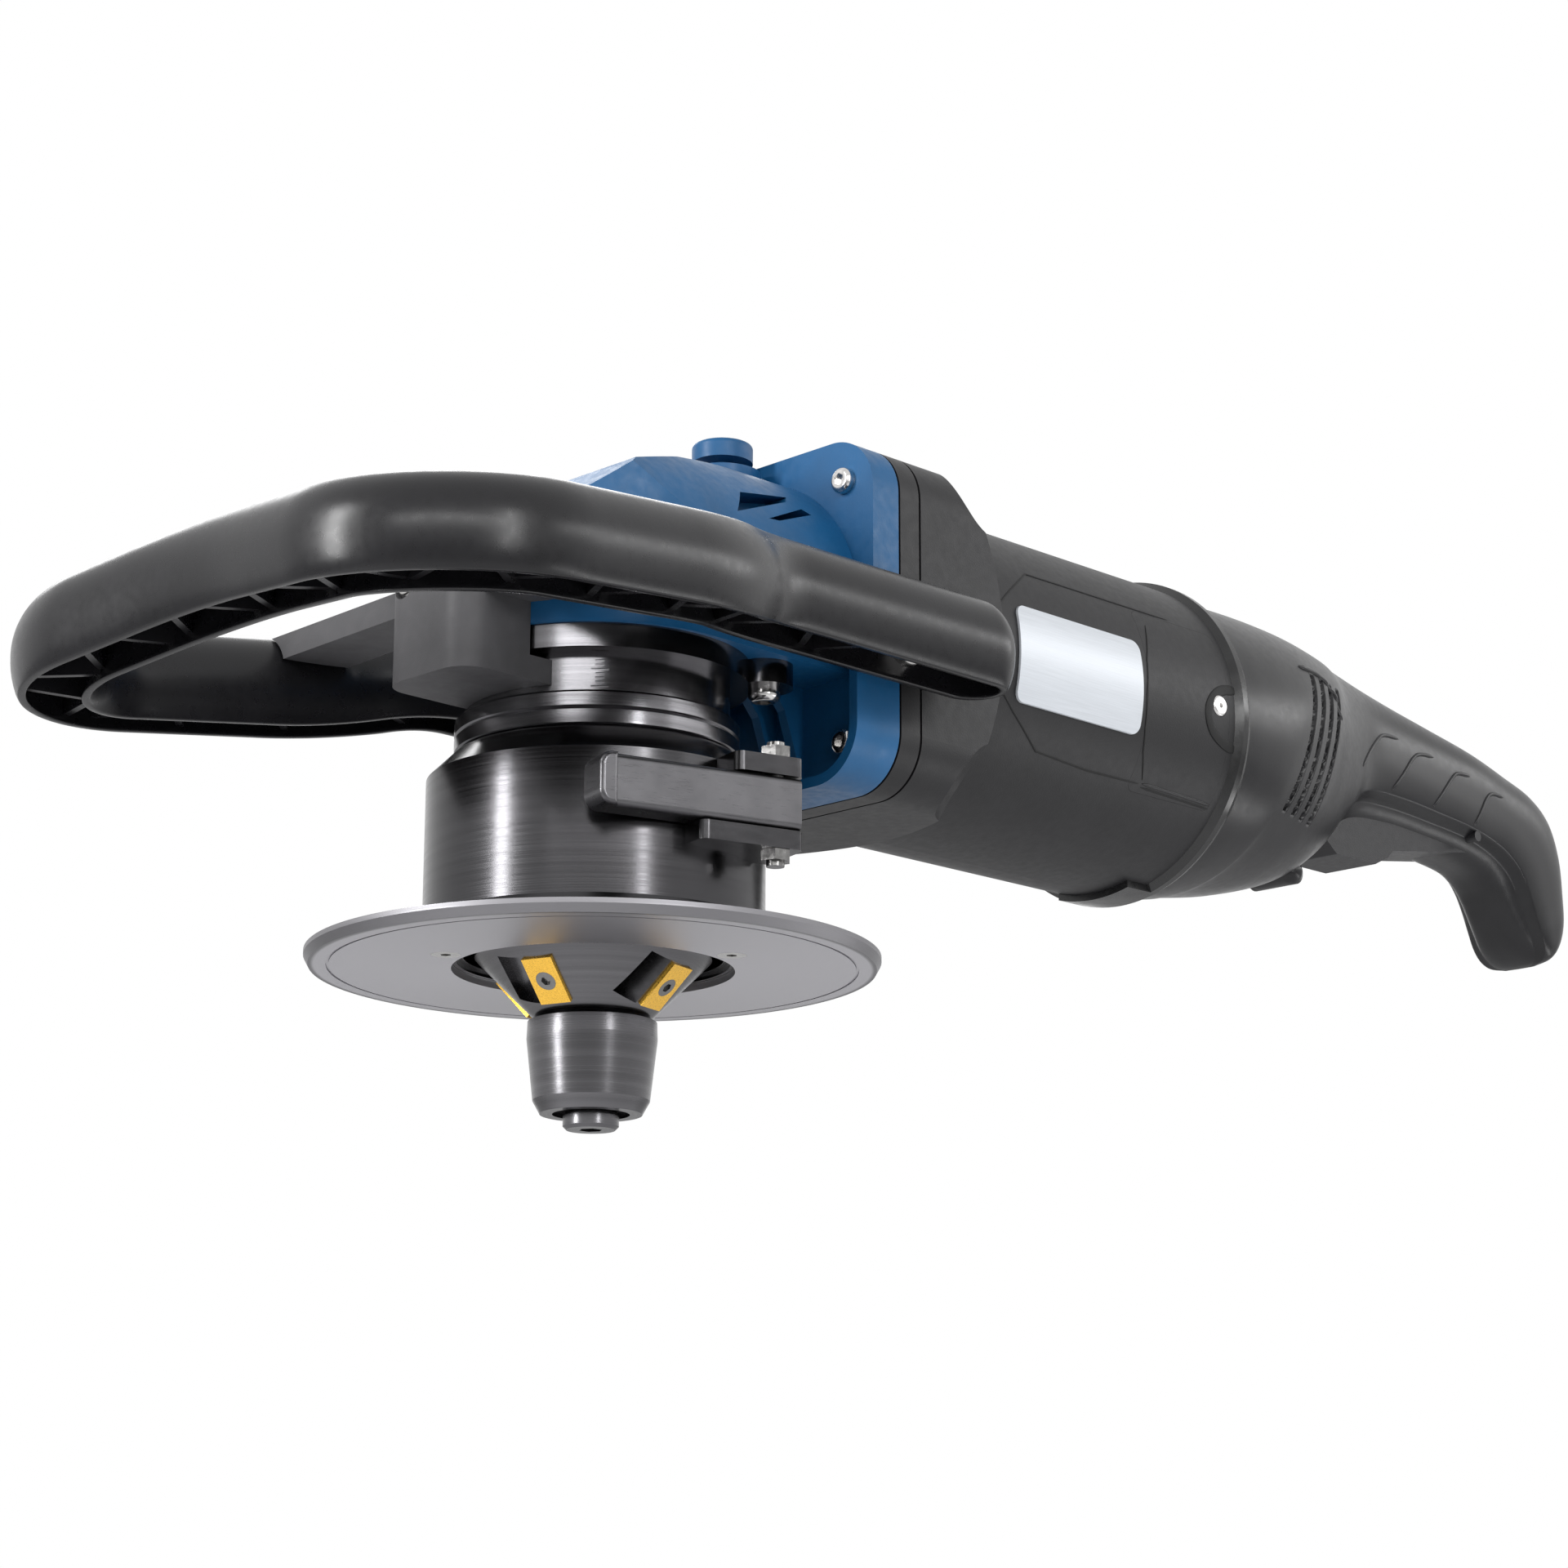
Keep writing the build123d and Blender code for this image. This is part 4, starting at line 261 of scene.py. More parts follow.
def grid_faces(rows, columns, closed=False):
    """Four-cornered faces of a grid of points, its last column joined to its first where closed."""
    across = np.arange(columns if closed else columns - 1)
    i, j = np.meshgrid(np.arange(rows - 1), across, indexing="ij")
    i, j = i.ravel(), j.ravel()
    k = (j + 1) % columns
    row, next_row = i * columns, (i + 1) * columns
    return np.stack([row + j, row + k, next_row + k, next_row + j], 1)


def surface(name, points, faces, body, finish, smooth=True):
    """A mesh of points and faces that rides on a body, its seams welded and its faces outwards."""
    mesh = bpy.data.meshes.new(name)
    mesh.from_pydata(points.reshape(-1, 3).tolist(), [], faces)
    welded = bmesh.new()
    welded.from_mesh(mesh)
    bmesh.ops.remove_doubles(welded, verts=welded.verts, dist=WELD)
    bmesh.ops.recalc_face_normals(welded, faces=welded.faces)
    welded.to_mesh(mesh)
    welded.free()
    if smooth:
        mesh.shade_smooth()
    piece = bpy.data.objects.new(name, mesh)
    bpy.context.scene.collection.objects.link(piece)
    mesh.materials.append(finish.material)
    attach(piece, body)
    return piece


def joined(parts):
    """One array of points and one of faces from several."""
    points, faces, start = [], [], 0
    for part_points, part_faces in parts:
        part_points = part_points.reshape(-1, 3)
        points.append(part_points)
        faces.append(part_faces + start)
        start += len(part_points)
    return np.concatenate(points), np.concatenate(faces)


def straight_path(points, count):
    """Points spaced evenly by length along straight stretches."""
    p = np.asarray(points, float)
    run = np.concatenate([[0], np.cumsum(np.linalg.norm(np.diff(p, axis=0), axis=1))])
    even = np.linspace(0, run[-1], count)
    return np.stack([np.interp(even, run, p[:, k]) for k in range(p.shape[1])], 1)


def smooth_path(points, count):
    """Points spaced evenly by length along a Catmull-Rom curve through the given ones.

    On the stretch from b to c, with a before and d after, the curve is
    0.5 * (2b + (c - a) t + (2a - 5b + 4c - d) t^2 + (3b - a - 3c + d) t^3).
    """
    p = np.asarray(points, float)
    p = np.vstack([2 * p[0] - p[1], p, 2 * p[-1] - p[-2]])
    t = np.linspace(0, 1, CURVE_STEPS, endpoint=False)[None, :, None]
    a, b, c, d = (p[i:len(p) - 3 + i, None, :] for i in range(4))
    square, cube = 2 * a - 5 * b + 4 * c - d, 3 * b - a - 3 * c + d
    curve = 0.5 * (2 * b + (c - a) * t + square * t**2 + cube * t**3)
    curve = np.vstack([curve.reshape(-1, p.shape[1]), p[-2]])
    return straight_path(curve, count)


def bead(path, outward, width, height, sides=9):
    """Half-round bead along a path that lies on a surface.

    A point at angle a of the section is path + cos(a) * width / 2 * side + sin(a) * height *
    outward, where side is square to both the path and the outward direction. Half of the round
    section lies below the surface. The bead tapers to nothing at its ends, with the square root of
    the distance from them.
    """
    along = np.gradient(path, axis=0)
    along /= np.linalg.norm(along, axis=1, keepdims=True)
    side = np.cross(along, outward)
    side /= np.linalg.norm(side, axis=1, keepdims=True)
    angle = np.linspace(0, 2 * np.pi, 2 * sides, endpoint=False)
    share = np.linspace(0, 1, len(path))
    taper = np.sqrt(np.clip(np.minimum(share, 1 - share) * BEAD_TAPER, 0, 1))[:, None, None]
    across = np.cos(angle)[None, :, None] * width / 2 * side[:, None, :]
    proud = np.sin(angle)[None, :, None] * height * outward[:, None, :]
    points = path[:, None, :] + taper * (across + proud)
    return points, grid_faces(len(path), 2 * sides, closed=True)


# Rear handle: rows of (top x, top z, bottom x, bottom z, half width, fullness) in millimetres

HANDLE_ROWS = [
    (241.0, 163.6, 241.0, 59.6, 52.3, 2.05),
    (255.0, 164.2, 249.0, 60.4, 51.8, 2.08),
    (276.0, 164.2, 259.0, 62.0, 50.2, 2.12),
    (299.5, 163.2, 263.5, 63.2, 47.4, 2.16),
    (322.0, 161.0, 288.0, 67.6, 40.6, 2.25),
    (334.0, 159.4, 312.0, 75.0, 33.0, 2.35),
    (348.0, 157.4, 334.0, 89.0, 26.5, 2.5),
    (362.0, 155.2, 350.0, 100.5, 22.5, 2.6),
    (380.0, 152.3, 374.0, 103.0, 20.6, 2.7),
    (402.0, 148.7, 399.0, 102.4, 19.7, 2.9),
    (428.0, 144.3, 420.0, 101.2, 19.2, 3.1),
    (452.0, 139.8, 436.0, 98.4, 18.2, 2.8),
    (470.0, 135.0, 445.0, 93.6, 17.6, 2.9),
    (482.0, 127.0, 449.5, 88.6, 17.2, 3.0),
    (488.0, 114.0, 453.0, 83.6, 17.0, 3.0),
    (489.0, 99.0, 457.0, 78.6, 16.9, 3.0),
    (488.0, 86.0, 461.5, 73.8, 16.8, 3.0),
    (484.6, 76.6, 466.0, 70.2, 15.6, 2.8),
    (480.5, 71.0, 470.0, 68.0, 12.6, 2.5),
    (477.0, 68.4, 473.0, 67.2, 6.5, 2.2),
]
HANDLE_AROUND, HANDLE_ALONG, HANDLE_TRIAL = 300, 320, 2400
SLOT_ROOM, SLOT_ROOM_EDGE, SLOT_DENSER = (274, 312), 5, 2.2
SLOT_LOW, SLOT_HIGH, SLOT_LEAN = 88.0, 139.0, 9.0
SLOT_FIRST, SLOT_STEP, SLOT_WIDTH, SLOT_COUNT = 282.5, 7.2, 3.0, 4
SLOT_EDGE, SLOT_END = 0.25, 0.4
BAR_START, BAR_FULL, BAR_HEIGHT = 0.26, 0.34, 0.72
GRIP_START, GRIP_FULL = 330, 352
CREASE_START, CREASE_FULL, CREASE_DEPTH = 0.54, 0.68, 0.20
FOOT_PLACE, FOOT_HALF_SPAN = (322.0, 0.0, 80.0), 12.0
FOOT_WIDTH, FOOT_HEIGHT, FOOT_STEPS = 9.2, 4.6, 9
FLANK_MIN, FLANK_REACH, FLANK_LEAST = 2 * MM, 1.6 * MM, 1e-12

# Ridges on each flank: (factor on their size, (x, z) points), four on the grip and the brow
RIDGES = [
    (1.0, [(341.3, 118.6), (348.0, 125.2), (356.0, 132.1), (361.2, 134.7), (371.5, 135.5)]),
    (1.0, [(367.0, 115.5), (373.2, 122.1), (380.2, 129.6), (385.6, 132.4), (394.8, 133.1)]),
    (1.0, [(394.1, 114.0), (399.1, 119.7), (406.3, 127.3), (410.5, 129.8), (418.6, 130.2)]),
    (1.0, [(420.6, 111.5), (424.4, 116.9), (429.0, 123.4), (433.3, 126.1), (441.6, 126.4)]),
    (1.8, [
        (283.0, 140.5), (290.3, 140.9), (298.5, 140.6), (305.4, 138.3), (310.0, 133.5),
        (312.5, 127.4),
    ]),
]
RIDGE_STEPS = 80


def smooth_step(value, low, high):
    """0 below low, 1 above high, and 3 t^2 - 2 t^3 between."""
    t = np.clip((value - low) / (high - low), 0, 1)
    return t * t * (3 - 2 * t)


def slot_depth(x, z, sizes):
    """(depth in millimetres, share that lies in shadow) of the cooling slots at points of a flank.

    The slots lean with height and stand one step apart, and small bars cross them.
    """
    lean = (z - (SLOT_LOW + SLOT_HIGH) / 2) * 2 * SLOT_LEAN / (SLOT_HIGH - SLOT_LOW)
    run = (x - lean - SLOT_FIRST) / SLOT_STEP
    nearest = np.clip(np.round(run), 0, SLOT_COUNT - 1)
    beside = np.abs(run - nearest) * SLOT_STEP
    inside = smooth_step(-beside, -SLOT_WIDTH / 2 - SLOT_EDGE, -SLOT_WIDTH / 2 + SLOT_EDGE)
    inside *= smooth_step(z, SLOT_LOW - SLOT_END, SLOT_LOW + SLOT_END)
    inside *= smooth_step(-z, -SLOT_HIGH - SLOT_END, -SLOT_HIGH + SLOT_END)
    pitch = sizes.louvre_pitch / MM
    bar = smooth_step(np.abs((z - SLOT_LOW) / pitch % 1 - 0.5), BAR_START, BAR_FULL)
    return inside * (1 - BAR_HEIGHT * bar) * sizes.louvre_depth / MM, inside * (1 - bar)


def handle_rows():
    """Rows of the handle's table, spread along it and closer together where the slots are."""
    fine = smooth_path(HANDLE_ROWS, HANDLE_TRIAL)
    x = (fine[:, 0] + fine[:, 2]) / 2
    first, last = SLOT_ROOM
    slots = smooth_step(x, first, first + SLOT_ROOM_EDGE)
    slots *= smooth_step(-x, -last, -last + SLOT_ROOM_EDGE)
    wanted = np.cumsum(1 + SLOT_DENSER * slots)
    return fine[np.searchsorted(wanted, np.linspace(wanted[0], wanted[-1], HANDLE_ALONG))]


def handle_skin(sizes):
    """Points, side faces, end faces and shadowed faces of the rear handle's outside, in metres.

    Each row has its top and bottom point in the middle plane and a half width w. At angle a the
    section is middle + v * (top - bottom) / 2 + w * sign(cos a) |cos a|^(2 / n) * Y, with
    v = sign(sin a) |sin a|^(2 / n) and the fullness n. Below the crease the grip is drawn in by a
    fifth, and the slots are sunk into the flanks.
    """
    rows = handle_rows()
    top_x, top_z, low_x, low_z, half, full = (rows[:, k, None] for k in range(6))
    angle = np.linspace(0, 2 * np.pi, HANDLE_AROUND, endpoint=False)[None, :]
    across = np.sign(np.cos(angle)) * np.abs(np.cos(angle))**(2 / full)
    v = np.sign(np.sin(angle)) * np.abs(np.sin(angle))**(2 / full)
    middle_x, middle_z = (top_x + low_x) / 2, (top_z + low_z) / 2
    x = middle_x + v * (top_x - low_x) / 2
    z = middle_z + v * (top_z - low_z) / 2
    grip = smooth_step(middle_x, GRIP_START, GRIP_FULL)
    drawn = 1 - CREASE_DEPTH * grip * smooth_step(-v, CREASE_START, CREASE_FULL)
    sunk, shadow = slot_depth(x, z, sizes)
    y = across * (half * drawn - sunk)
    points = np.stack([x, y, z], -1) * MM
    count = points.shape[0] * points.shape[1]
    ends = np.stack([points[0].mean(0), points[-1].mean(0)])
    ring = np.arange(HANDLE_AROUND)
    after = (ring + 1) % HANDLE_AROUND
    last = count - HANDLE_AROUND
    faces = grid_faces(len(rows), HANDLE_AROUND, closed=True)
    caps = [
        np.stack([after, ring, np.full(HANDLE_AROUND, count)], 1),
        np.stack([last + ring, last + after, np.full(HANDLE_AROUND, count + 1)], 1),
    ]
    shadowed = shadow.ravel()[faces].min(1) > 0.5
    return np.vstack([points.reshape(-1, 3), ends]), faces, np.concatenate(caps), shadowed


def on_grip(flat, side, skin):
    """Points and outward directions on one flank of the handle for (x, z) rows in millimetres.

    The flank is taken as a height over (x, z): a plane fitted to the skin's points near each row,
    with the weight exp(-(distance / reach)^2).
    """
    near = skin[skin[:, 1] * side > FLANK_MIN]
    x, z = flat[:, 0, None] * MM, flat[:, 1, None] * MM
    distance = (near[None, :, 0] - x)**2 + (near[None, :, 2] - z)**2
    weight = np.exp(-distance / FLANK_REACH**2) + FLANK_LEAST
    weight /= weight.sum(1, keepdims=True)
    columns = np.stack([np.ones_like(weight), near[:, 0] - x, near[:, 2] - z], -1)
    moments = np.einsum("ij,ijk,ijl->ikl", weight, columns, columns)
    sums = np.einsum("ij,ijk,j->ik", weight, columns, near[:, 1])
    plane = np.linalg.solve(moments, sums[..., None])[..., 0]
    outward = np.stack([-plane[:, 1], np.ones(len(flat)), -plane[:, 2]], 1) * side
    outward /= np.linalg.norm(outward, axis=1, keepdims=True)
    return np.stack([flat[:, 0] * MM, plane[:, 0], flat[:, 1] * MM], 1), outward


def grip_ridge(factor, line, side, skin, sizes):
    """One ridge on a flank, its height scaled by a factor and its width by the factor's root."""
    path, outward = on_grip(smooth_path(line, RIDGE_STEPS), side, skin)
    return bead(path, outward, sizes.ridge_width * factor**0.5, sizes.ridge_height * factor)


def handle_foot():
    """Half-round foot that lies across the handle's underside."""
    across = np.linspace(-FOOT_HALF_SPAN, FOOT_HALF_SPAN, FOOT_STEPS)[:, None] * (0, 1, 0)
    upward = np.tile((0.0, 0.0, 1.0), (FOOT_STEPS, 1))
    path = (across + FOOT_PLACE) * MM
    return bead(path, upward, FOOT_WIDTH * MM, FOOT_HEIGHT * MM, sides=12)


# Bow handle: corners of its lower centre line from the near end to the middle, in millimetres

BOW_CORNERS = [
    (86.0, -70.0, 86.5), (-6.0, -70.0, 86.5), (-35.0, -86.5, 80.0), (-147.0, -101.5, 65.8),
]
BOW_MIDDLE = (-133.5, 0.0, 77.5)
BOW_ROUNDS = [45.0, 95.0, 38.0]
BOW_MIDDLE_ROUND = 150.0
BOW_HALF, BOW_BELLY, BOW_HEIGHT, BOW_WALL = 12.5, 11.8, 28.2, 3.0
BOW_FOOT_ANGLE, BOW_LIP, BOW_LIP_PROUD = -0.64, 0.5, 0.1
BOW_ALONG, BOW_ROUND, BOW_TURN = 340, 22, 12
RIB_STEP, RIB_LEAN, RIB_TRIAL = 17.0, 33.0, 1200
RIB_HALF_LENGTH, RIB_HALF_THICK, RIB_LOW, RIB_HEIGHT = 11.8, 1.1, 3.0, 16.0
BOSS_X, BOSS_Z, BOSS_R, BOSS_REACH = 66.0, 98.4, 9.0, (54.3, 59.0)
BOSS_AROUND = 48
BOX_FACES = [(0, 3, 2, 1), (4, 5, 6, 7), (0, 1, 5, 4), (1, 2, 6, 5), (2, 3, 7, 6), (3, 0, 4, 7)]


def rounded_path(points, rounds, count):
    """Points spaced evenly along straight stretches whose inner corners are arcs.

    An arc of radius r in a corner of turn t starts r * tan(t / 2) before the corner. Its points are
    centre - r * (sin((1 - k) t) * n0 + sin(k t) * n1) / sin t, with k from 0 to 1 and the inward
    normals n0 and n1 of the two stretches.
    """
    p = np.asarray(points, float)
    pieces = [p[:1]]
    share = np.linspace(0, 1, CURVE_STEPS)[:, None]
    for before, corner, after, radius in zip(p, p[1:], p[2:], rounds):
        ahead = (corner - before) / np.linalg.norm(corner - before)
        onward = (after - corner) / np.linalg.norm(after - corner)
        turn = np.arccos(np.clip(ahead @ onward, -1, 1))
        tangent = radius * np.tan(turn / 2)
        inward = (onward - ahead @ onward * ahead) / np.sin(turn)
        leaving = (ahead @ onward * onward - ahead) / np.sin(turn)
        centre = corner - tangent * ahead + radius * inward
        arc = np.sin((1 - share) * turn) * inward + np.sin(share * turn) * leaving
        pieces.append(centre - radius * arc / np.sin(turn))
    return straight_path(np.vstack(pieces + [p[-1:]]), count)


def bow_line(count):
    """Lower centre line of the whole bow."""
    far = [(x, -y, z) for x, y, z in reversed(BOW_CORNERS)]
    rounds = BOW_ROUNDS + [BOW_MIDDLE_ROUND] + BOW_ROUNDS[::-1]
    return rounded_path(BOW_CORNERS + [BOW_MIDDLE] + far, rounds, count)


def bow_arch(wall):
    """Half of the bow's section from its foot to its back, set in by a wall.

    At angle a it is (half * cos a, belly + s * sin a). Below the belly, s brings the foot down to
    the height 0, and above it s is what is left of the height.
    """
    a = np.linspace(BOW_FOOT_ANGLE, np.pi / 2, BOW_ROUND)
    below = BOW_BELLY / -np.sin(BOW_FOOT_ANGLE)
    above = BOW_HEIGHT - BOW_BELLY - wall
    sideways = (BOW_HALF - wall) * np.cos(a)
    return np.stack([sideways, BOW_BELLY + np.where(a < 0, below, above) * np.sin(a)], 1)


def bow_profile():
    """Closed section of the bow's shell as (sideways, upwards), outside first and then inside.

    Both are arches, the inner one set in by the wall, and the foot between them has rounded lips.
    """
    outer, inner = bow_arch(0), bow_arch(BOW_WALL)
    out_foot, in_foot = outer[0, 0], inner[0, 0]
    lip, rise = BOW_LIP, BOW_LIP / 3
    outer = np.vstack([
        (out_foot - lip, 0), (out_foot - lip / 4, rise), outer[0] + (BOW_LIP_PROUD, lip), outer[1:],
    ])
    inner = np.vstack([
        (in_foot + lip, 0), (in_foot + lip / 4, rise), inner[0] + (0, lip), inner[1:],
    ])
    mirrored = np.array([-1, 1])
    return np.vstack([outer, outer[-2::-1] * mirrored, inner * mirrored, inner[-2::-1]])


def held_ends(rows, count):
    """Rows with the first and the last one repeated."""
    return np.vstack([np.repeat(rows[:1], count, 0), rows, np.repeat(rows[-1:], count, 0)])


def bow_shell():
    """The section carried along the line, its ends turned a quarter round about an upright axis.

    A row is line + sideways * w + upward * h. In an end turned by an angle e, w becomes w * cos e
    sideways and |w| * sin e along the line.
    """
    line = bow_line(BOW_ALONG)
    ahead = np.gradient(line, axis=0)
    ahead /= np.linalg.norm(ahead, axis=1, keepdims=True)
    quarter = np.linspace(np.pi / 2, 0, BOW_TURN, endpoint=False)
    turned = np.concatenate([quarter, np.zeros(len(line)), quarter[::-1]])[:, None, None]
    line, ahead = held_ends(line, BOW_TURN), held_ends(ahead, BOW_TURN)
    onward = np.where(np.arange(len(line)) < len(line) / 2, -1, 1)[:, None, None]
    sideways = np.stack([-ahead[:, 1], ahead[:, 0], np.zeros(len(line))], 1)
    sideways /= np.linalg.norm(sideways, axis=1, keepdims=True)
    upward = np.cross(ahead, sideways)
    w, h = bow_profile().T[:, None, :, None]
    points = line[:, None, :] + sideways[:, None, :] * w * np.cos(turned) + upward[:, None, :] * h
    points = points + onward * ahead[:, None, :] * np.abs(w) * np.sin(turned)
    return points * MM, grid_faces(len(line), points.shape[1], closed=True)


def bow_ribs():
    """Upright plates one step apart in the channel, turned to and fro, with room for the bosses.

    A plate is the box low +- along +- across, and the same one height up, where along is turned
    from the line's level normal by the lean.
    """
    line = bow_line(RIB_TRIAL)
    length = np.linalg.norm(np.diff(line, axis=0), axis=1).sum()
    count = int(length / RIB_STEP)
    index = (np.arange(1, count) / count * (RIB_TRIAL - 1)).astype(int)
    place, ahead = line[index], np.gradient(line, axis=0)[index]
    odd = np.arange(1, count) % 2
    keep = np.abs(place[:, 0] - BOSS_X) > 3 * BOSS_R
    turn = np.arctan2(ahead[:, 0], -ahead[:, 1]) + np.radians(RIB_LEAN) * np.where(odd, 1, -1)
    along = np.stack([np.cos(turn), np.sin(turn), 0 * turn], 1)[keep] * RIB_HALF_LENGTH
    across = np.stack([-np.sin(turn), np.cos(turn), 0 * turn], 1)[keep] * RIB_HALF_THICK
    low = place[keep] + (0, 0, RIB_LOW)
    square = [-along - across, along - across, along + across, -along + across]
    corners = np.stack([low + c + (0, 0, up) for up in (0, RIB_HEIGHT) for c in square], 1)
    faces = (np.array(BOX_FACES)[None] + 8 * np.arange(len(low))[:, None, None]).reshape(-1, 4)
    return corners * MM, faces


def bow_boss(side):
    """Drum on one side that the side bolt goes into: a closed cylinder across the machine."""
    angle = np.linspace(0, 2 * np.pi, BOSS_AROUND, endpoint=False)
    hub = np.array([(BOSS_X, side * y, BOSS_Z) for y in BOSS_REACH])[:, None, :]
    ring = BOSS_R * np.stack([np.cos(angle), 0 * angle, np.sin(angle)], 1)
    drum = hub + ring
    flat = hub + 0 * ring
    rows = np.stack([flat[0], drum[0], drum[1], flat[1]])
    return rows * MM, grid_faces(4, BOSS_AROUND, closed=True)


# Spring under the lock button, in millimetres

SPRING_TURNS, SPRING_WIRE, SPRING_STEPS = 4, 0.34, 48


def coil(low, high, wire, turns, around=14):
    """Closed wire coil that fills the box from low to high about an upright axis.

    At angle t the wire's middle is centre + r (cos t, sin t), at the height
    z0 + (z1 - z0) t / (2 pi turns), and its section is wire * (cos b outwards, sin b upwards).
    """
    centre = (low + high) / 2
    radius = (high[0] - low[0]) / 2 - wire
    t = np.linspace(0, 2 * np.pi * turns, SPRING_STEPS * turns + 1)[:, None]
    b = np.linspace(0, 2 * np.pi, around, endpoint=False)[None, :]
    reach = radius + wire * np.cos(b)
    height = low[2] + wire + (high[2] - low[2] - 2 * wire) * t / t[-1] + wire * np.sin(b)
    points = np.stack([centre[0] + reach * np.cos(t), centre[1] + reach * np.sin(t), height], -1)
    ends = points[[0, -1]].mean(1, keepdims=True) + 0 * points[[0, -1]]
    points = np.concatenate([ends[:1], points, ends[1:]])
    return points, grid_faces(len(points), around, closed=True)


# Motor housing: points as (x in millimetres, degrees from sideways towards the top)

MOTOR_R = 54.0
PANEL_LINES = [
    [(107.0, 0.0), (115.1, 11.4), (124.0, 19.9), (137.3, 31.6), (154.8, 31.7), (208.0, 31.7)],
    [(112.2, -10.2), (125.6, -21.0), (141.3, -31.9), (166.7, -33.6), (192.5, -33.3)],
    [(192.6, 25.2), (188.0, 10.0), (186.8, -2.7), (187.4, -14.0), (188.9, -22.2), (193.1, -32.0)],
    [(193.6, -34.4), (215.3, -35.1), (229.0, -35.6)],
]
POCKET_LINE = [
    (234.0, 8.5), (226.0, 7.0), (220.6, 3.2), (218.1, -2.0), (220.2, -8.0), (226.5, -11.8),
    (234.0, -13.4),
]
LEDGE_LINE = [(193.6, -33.0), (215.3, -33.6), (229.0, -34.1)]
PANEL_STEPS, POCKET_STEPS, LEDGE_STEPS = 160, 80, 80
POCKET_WIDER, POCKET_HIGHER = 5, 2
LEDGE_WIDER, LEDGE_HIGHER = 1.6, 3


def on_motor(flat, side):
    """Points and outward directions on one side of the motor housing.

    A row is x in millimetres and the angle a in degrees from straight sideways towards the top. The
    outward direction is (0, side * cos a, sin a).
    """
    turn = np.radians(flat[:, 1])
    outward = np.stack([np.zeros_like(turn), side * np.cos(turn), np.sin(turn)], 1)
    points = outward * MOTOR_R * MM
    points[:, 0] = flat[:, 0] * MM
    points[:, 2] += MOTOR_Z
    return points, outward


def motor_bead(path, side, sizes, wider=1, higher=1):
    """A bead on one side of the motor housing, sized by factors on the panel lines' size."""
    points, outward = on_motor(path, side)
    return bead(points, outward, sizes.seam_width * wider, sizes.seam_height * higher)


def panel_seams(side, sizes):
    """The panel lines on one side, and a wide dark bead round the screw pocket as painted shade of
    its recess.
    """
    seams = [motor_bead(straight_path(line, PANEL_STEPS), side, sizes) for line in PANEL_LINES]
    # The pocket's bead is five times wider than a panel line and dark: painted shade of the recess
    # round the screw.
    pocket = smooth_path(POCKET_LINE, POCKET_STEPS)
    return joined(seams + [motor_bead(pocket, side, sizes, POCKET_WIDER, POCKET_HIGHER)])


# Studio: lamps (name, place, target, width, height, power), in metres and watts

LAMPS = [
    ("bow_left", (-0.80, -0.85, 0.48), (0, -0.05, 0.09), 1.30, 0.18, 5.4),
    ("bow_right", (0.95, -0.85, 0.52), (0.20, 0, 0.10), 1.40, 0.18, 3.6),
    ("left_strip", (-1.10, 0.30, 0.36), (0, 0, 0.04), 0.16, 0.90, 14.0),
    ("near_strip", (-0.22, -1.20, 0.36), (0, 0, 0.04), 0.10, 0.80, 5.0),
    ("low_right", (0.95, -0.80, -0.38), (0.20, 0, 0.10), 1.20, 0.12, 2.6),
    ("back_rim", (0.55, 0.95, 0.85), (0.15, 0, 0.12), 0.90, 0.40, 4.0),
]
FLOOR_HALF, FLOOR_COLUMNS, FLOOR_SHADE = 12, 9, 0.01
CAMERA_RIGHT = (0.70921763, -0.70498262, 0.00314107)
CAMERA_UP = (-0.17476102, -0.17149094, 0.96956147)
CAMERA_BACK = (-0.68298532, -0.68817902, -0.24482788)
CAMERA_PLACE = (-0.65363789, -0.73584830, -0.19270498)
SENSOR_WIDTH = 36


def studio_floor(studio, paper):
    """Flat floor below the machine, in a grid of squares."""
    span = np.linspace(-FLOOR_HALF, FLOOR_HALF, FLOOR_COLUMNS)
    x, y = np.meshgrid(span, span, indexing="ij")
    points = np.stack([x, y, np.full_like(x, -studio.floor_drop)], -1).reshape(-1, 3)
    faces = grid_faces(FLOOR_COLUMNS, FLOOR_COLUMNS)[:, ::-1]
    mesh = bpy.data.meshes.new("studio_floor")
    mesh.from_pydata(points.tolist(), [], faces.tolist())
    mesh.materials.append(paper.material)
    floor = bpy.data.objects.new("studio_floor", mesh)
    bpy.context.scene.collection.objects.link(floor)
    return floor


def area_lamp(name, place, target, width, height, power):
    """Flat lamp that faces a target."""
    lamp = bpy.data.lights.new(name, "AREA")
    lamp.shape = "RECTANGLE"
    lamp.size = width
    lamp.size_y = height
    lamp.energy = power
    thing = bpy.data.objects.new(name, lamp)
    bpy.context.scene.collection.objects.link(thing)
    turned = (Vector(target) - Vector(place)).to_track_quat("-Z", "Y").to_matrix().to_4x4()
    thing.matrix_world = Matrix.Translation(place) @ turned


# Finishes


def blue_paint(colours):
    """Satin paint over a cast surface: slow tone changes, orange-peel bump."""
    finish = Finish("casting_blue_paint", colours.casting_blue, 0.36)
    finish.vary_tone(finish.mottle(22 * MM, 4.0), colours.casting_blue, 0.86, 1.14)
    finish.vary_roughness(finish.mottle(3 * MM, 3.0), 0.36, 0.50)
    finish.raise_surface(finish.mottle(0.9 * MM, 2.0), 0.05 * MM, 0.5)
    finish.shader.inputs["Specular IOR Level"].default_value = 0.35
    return finish


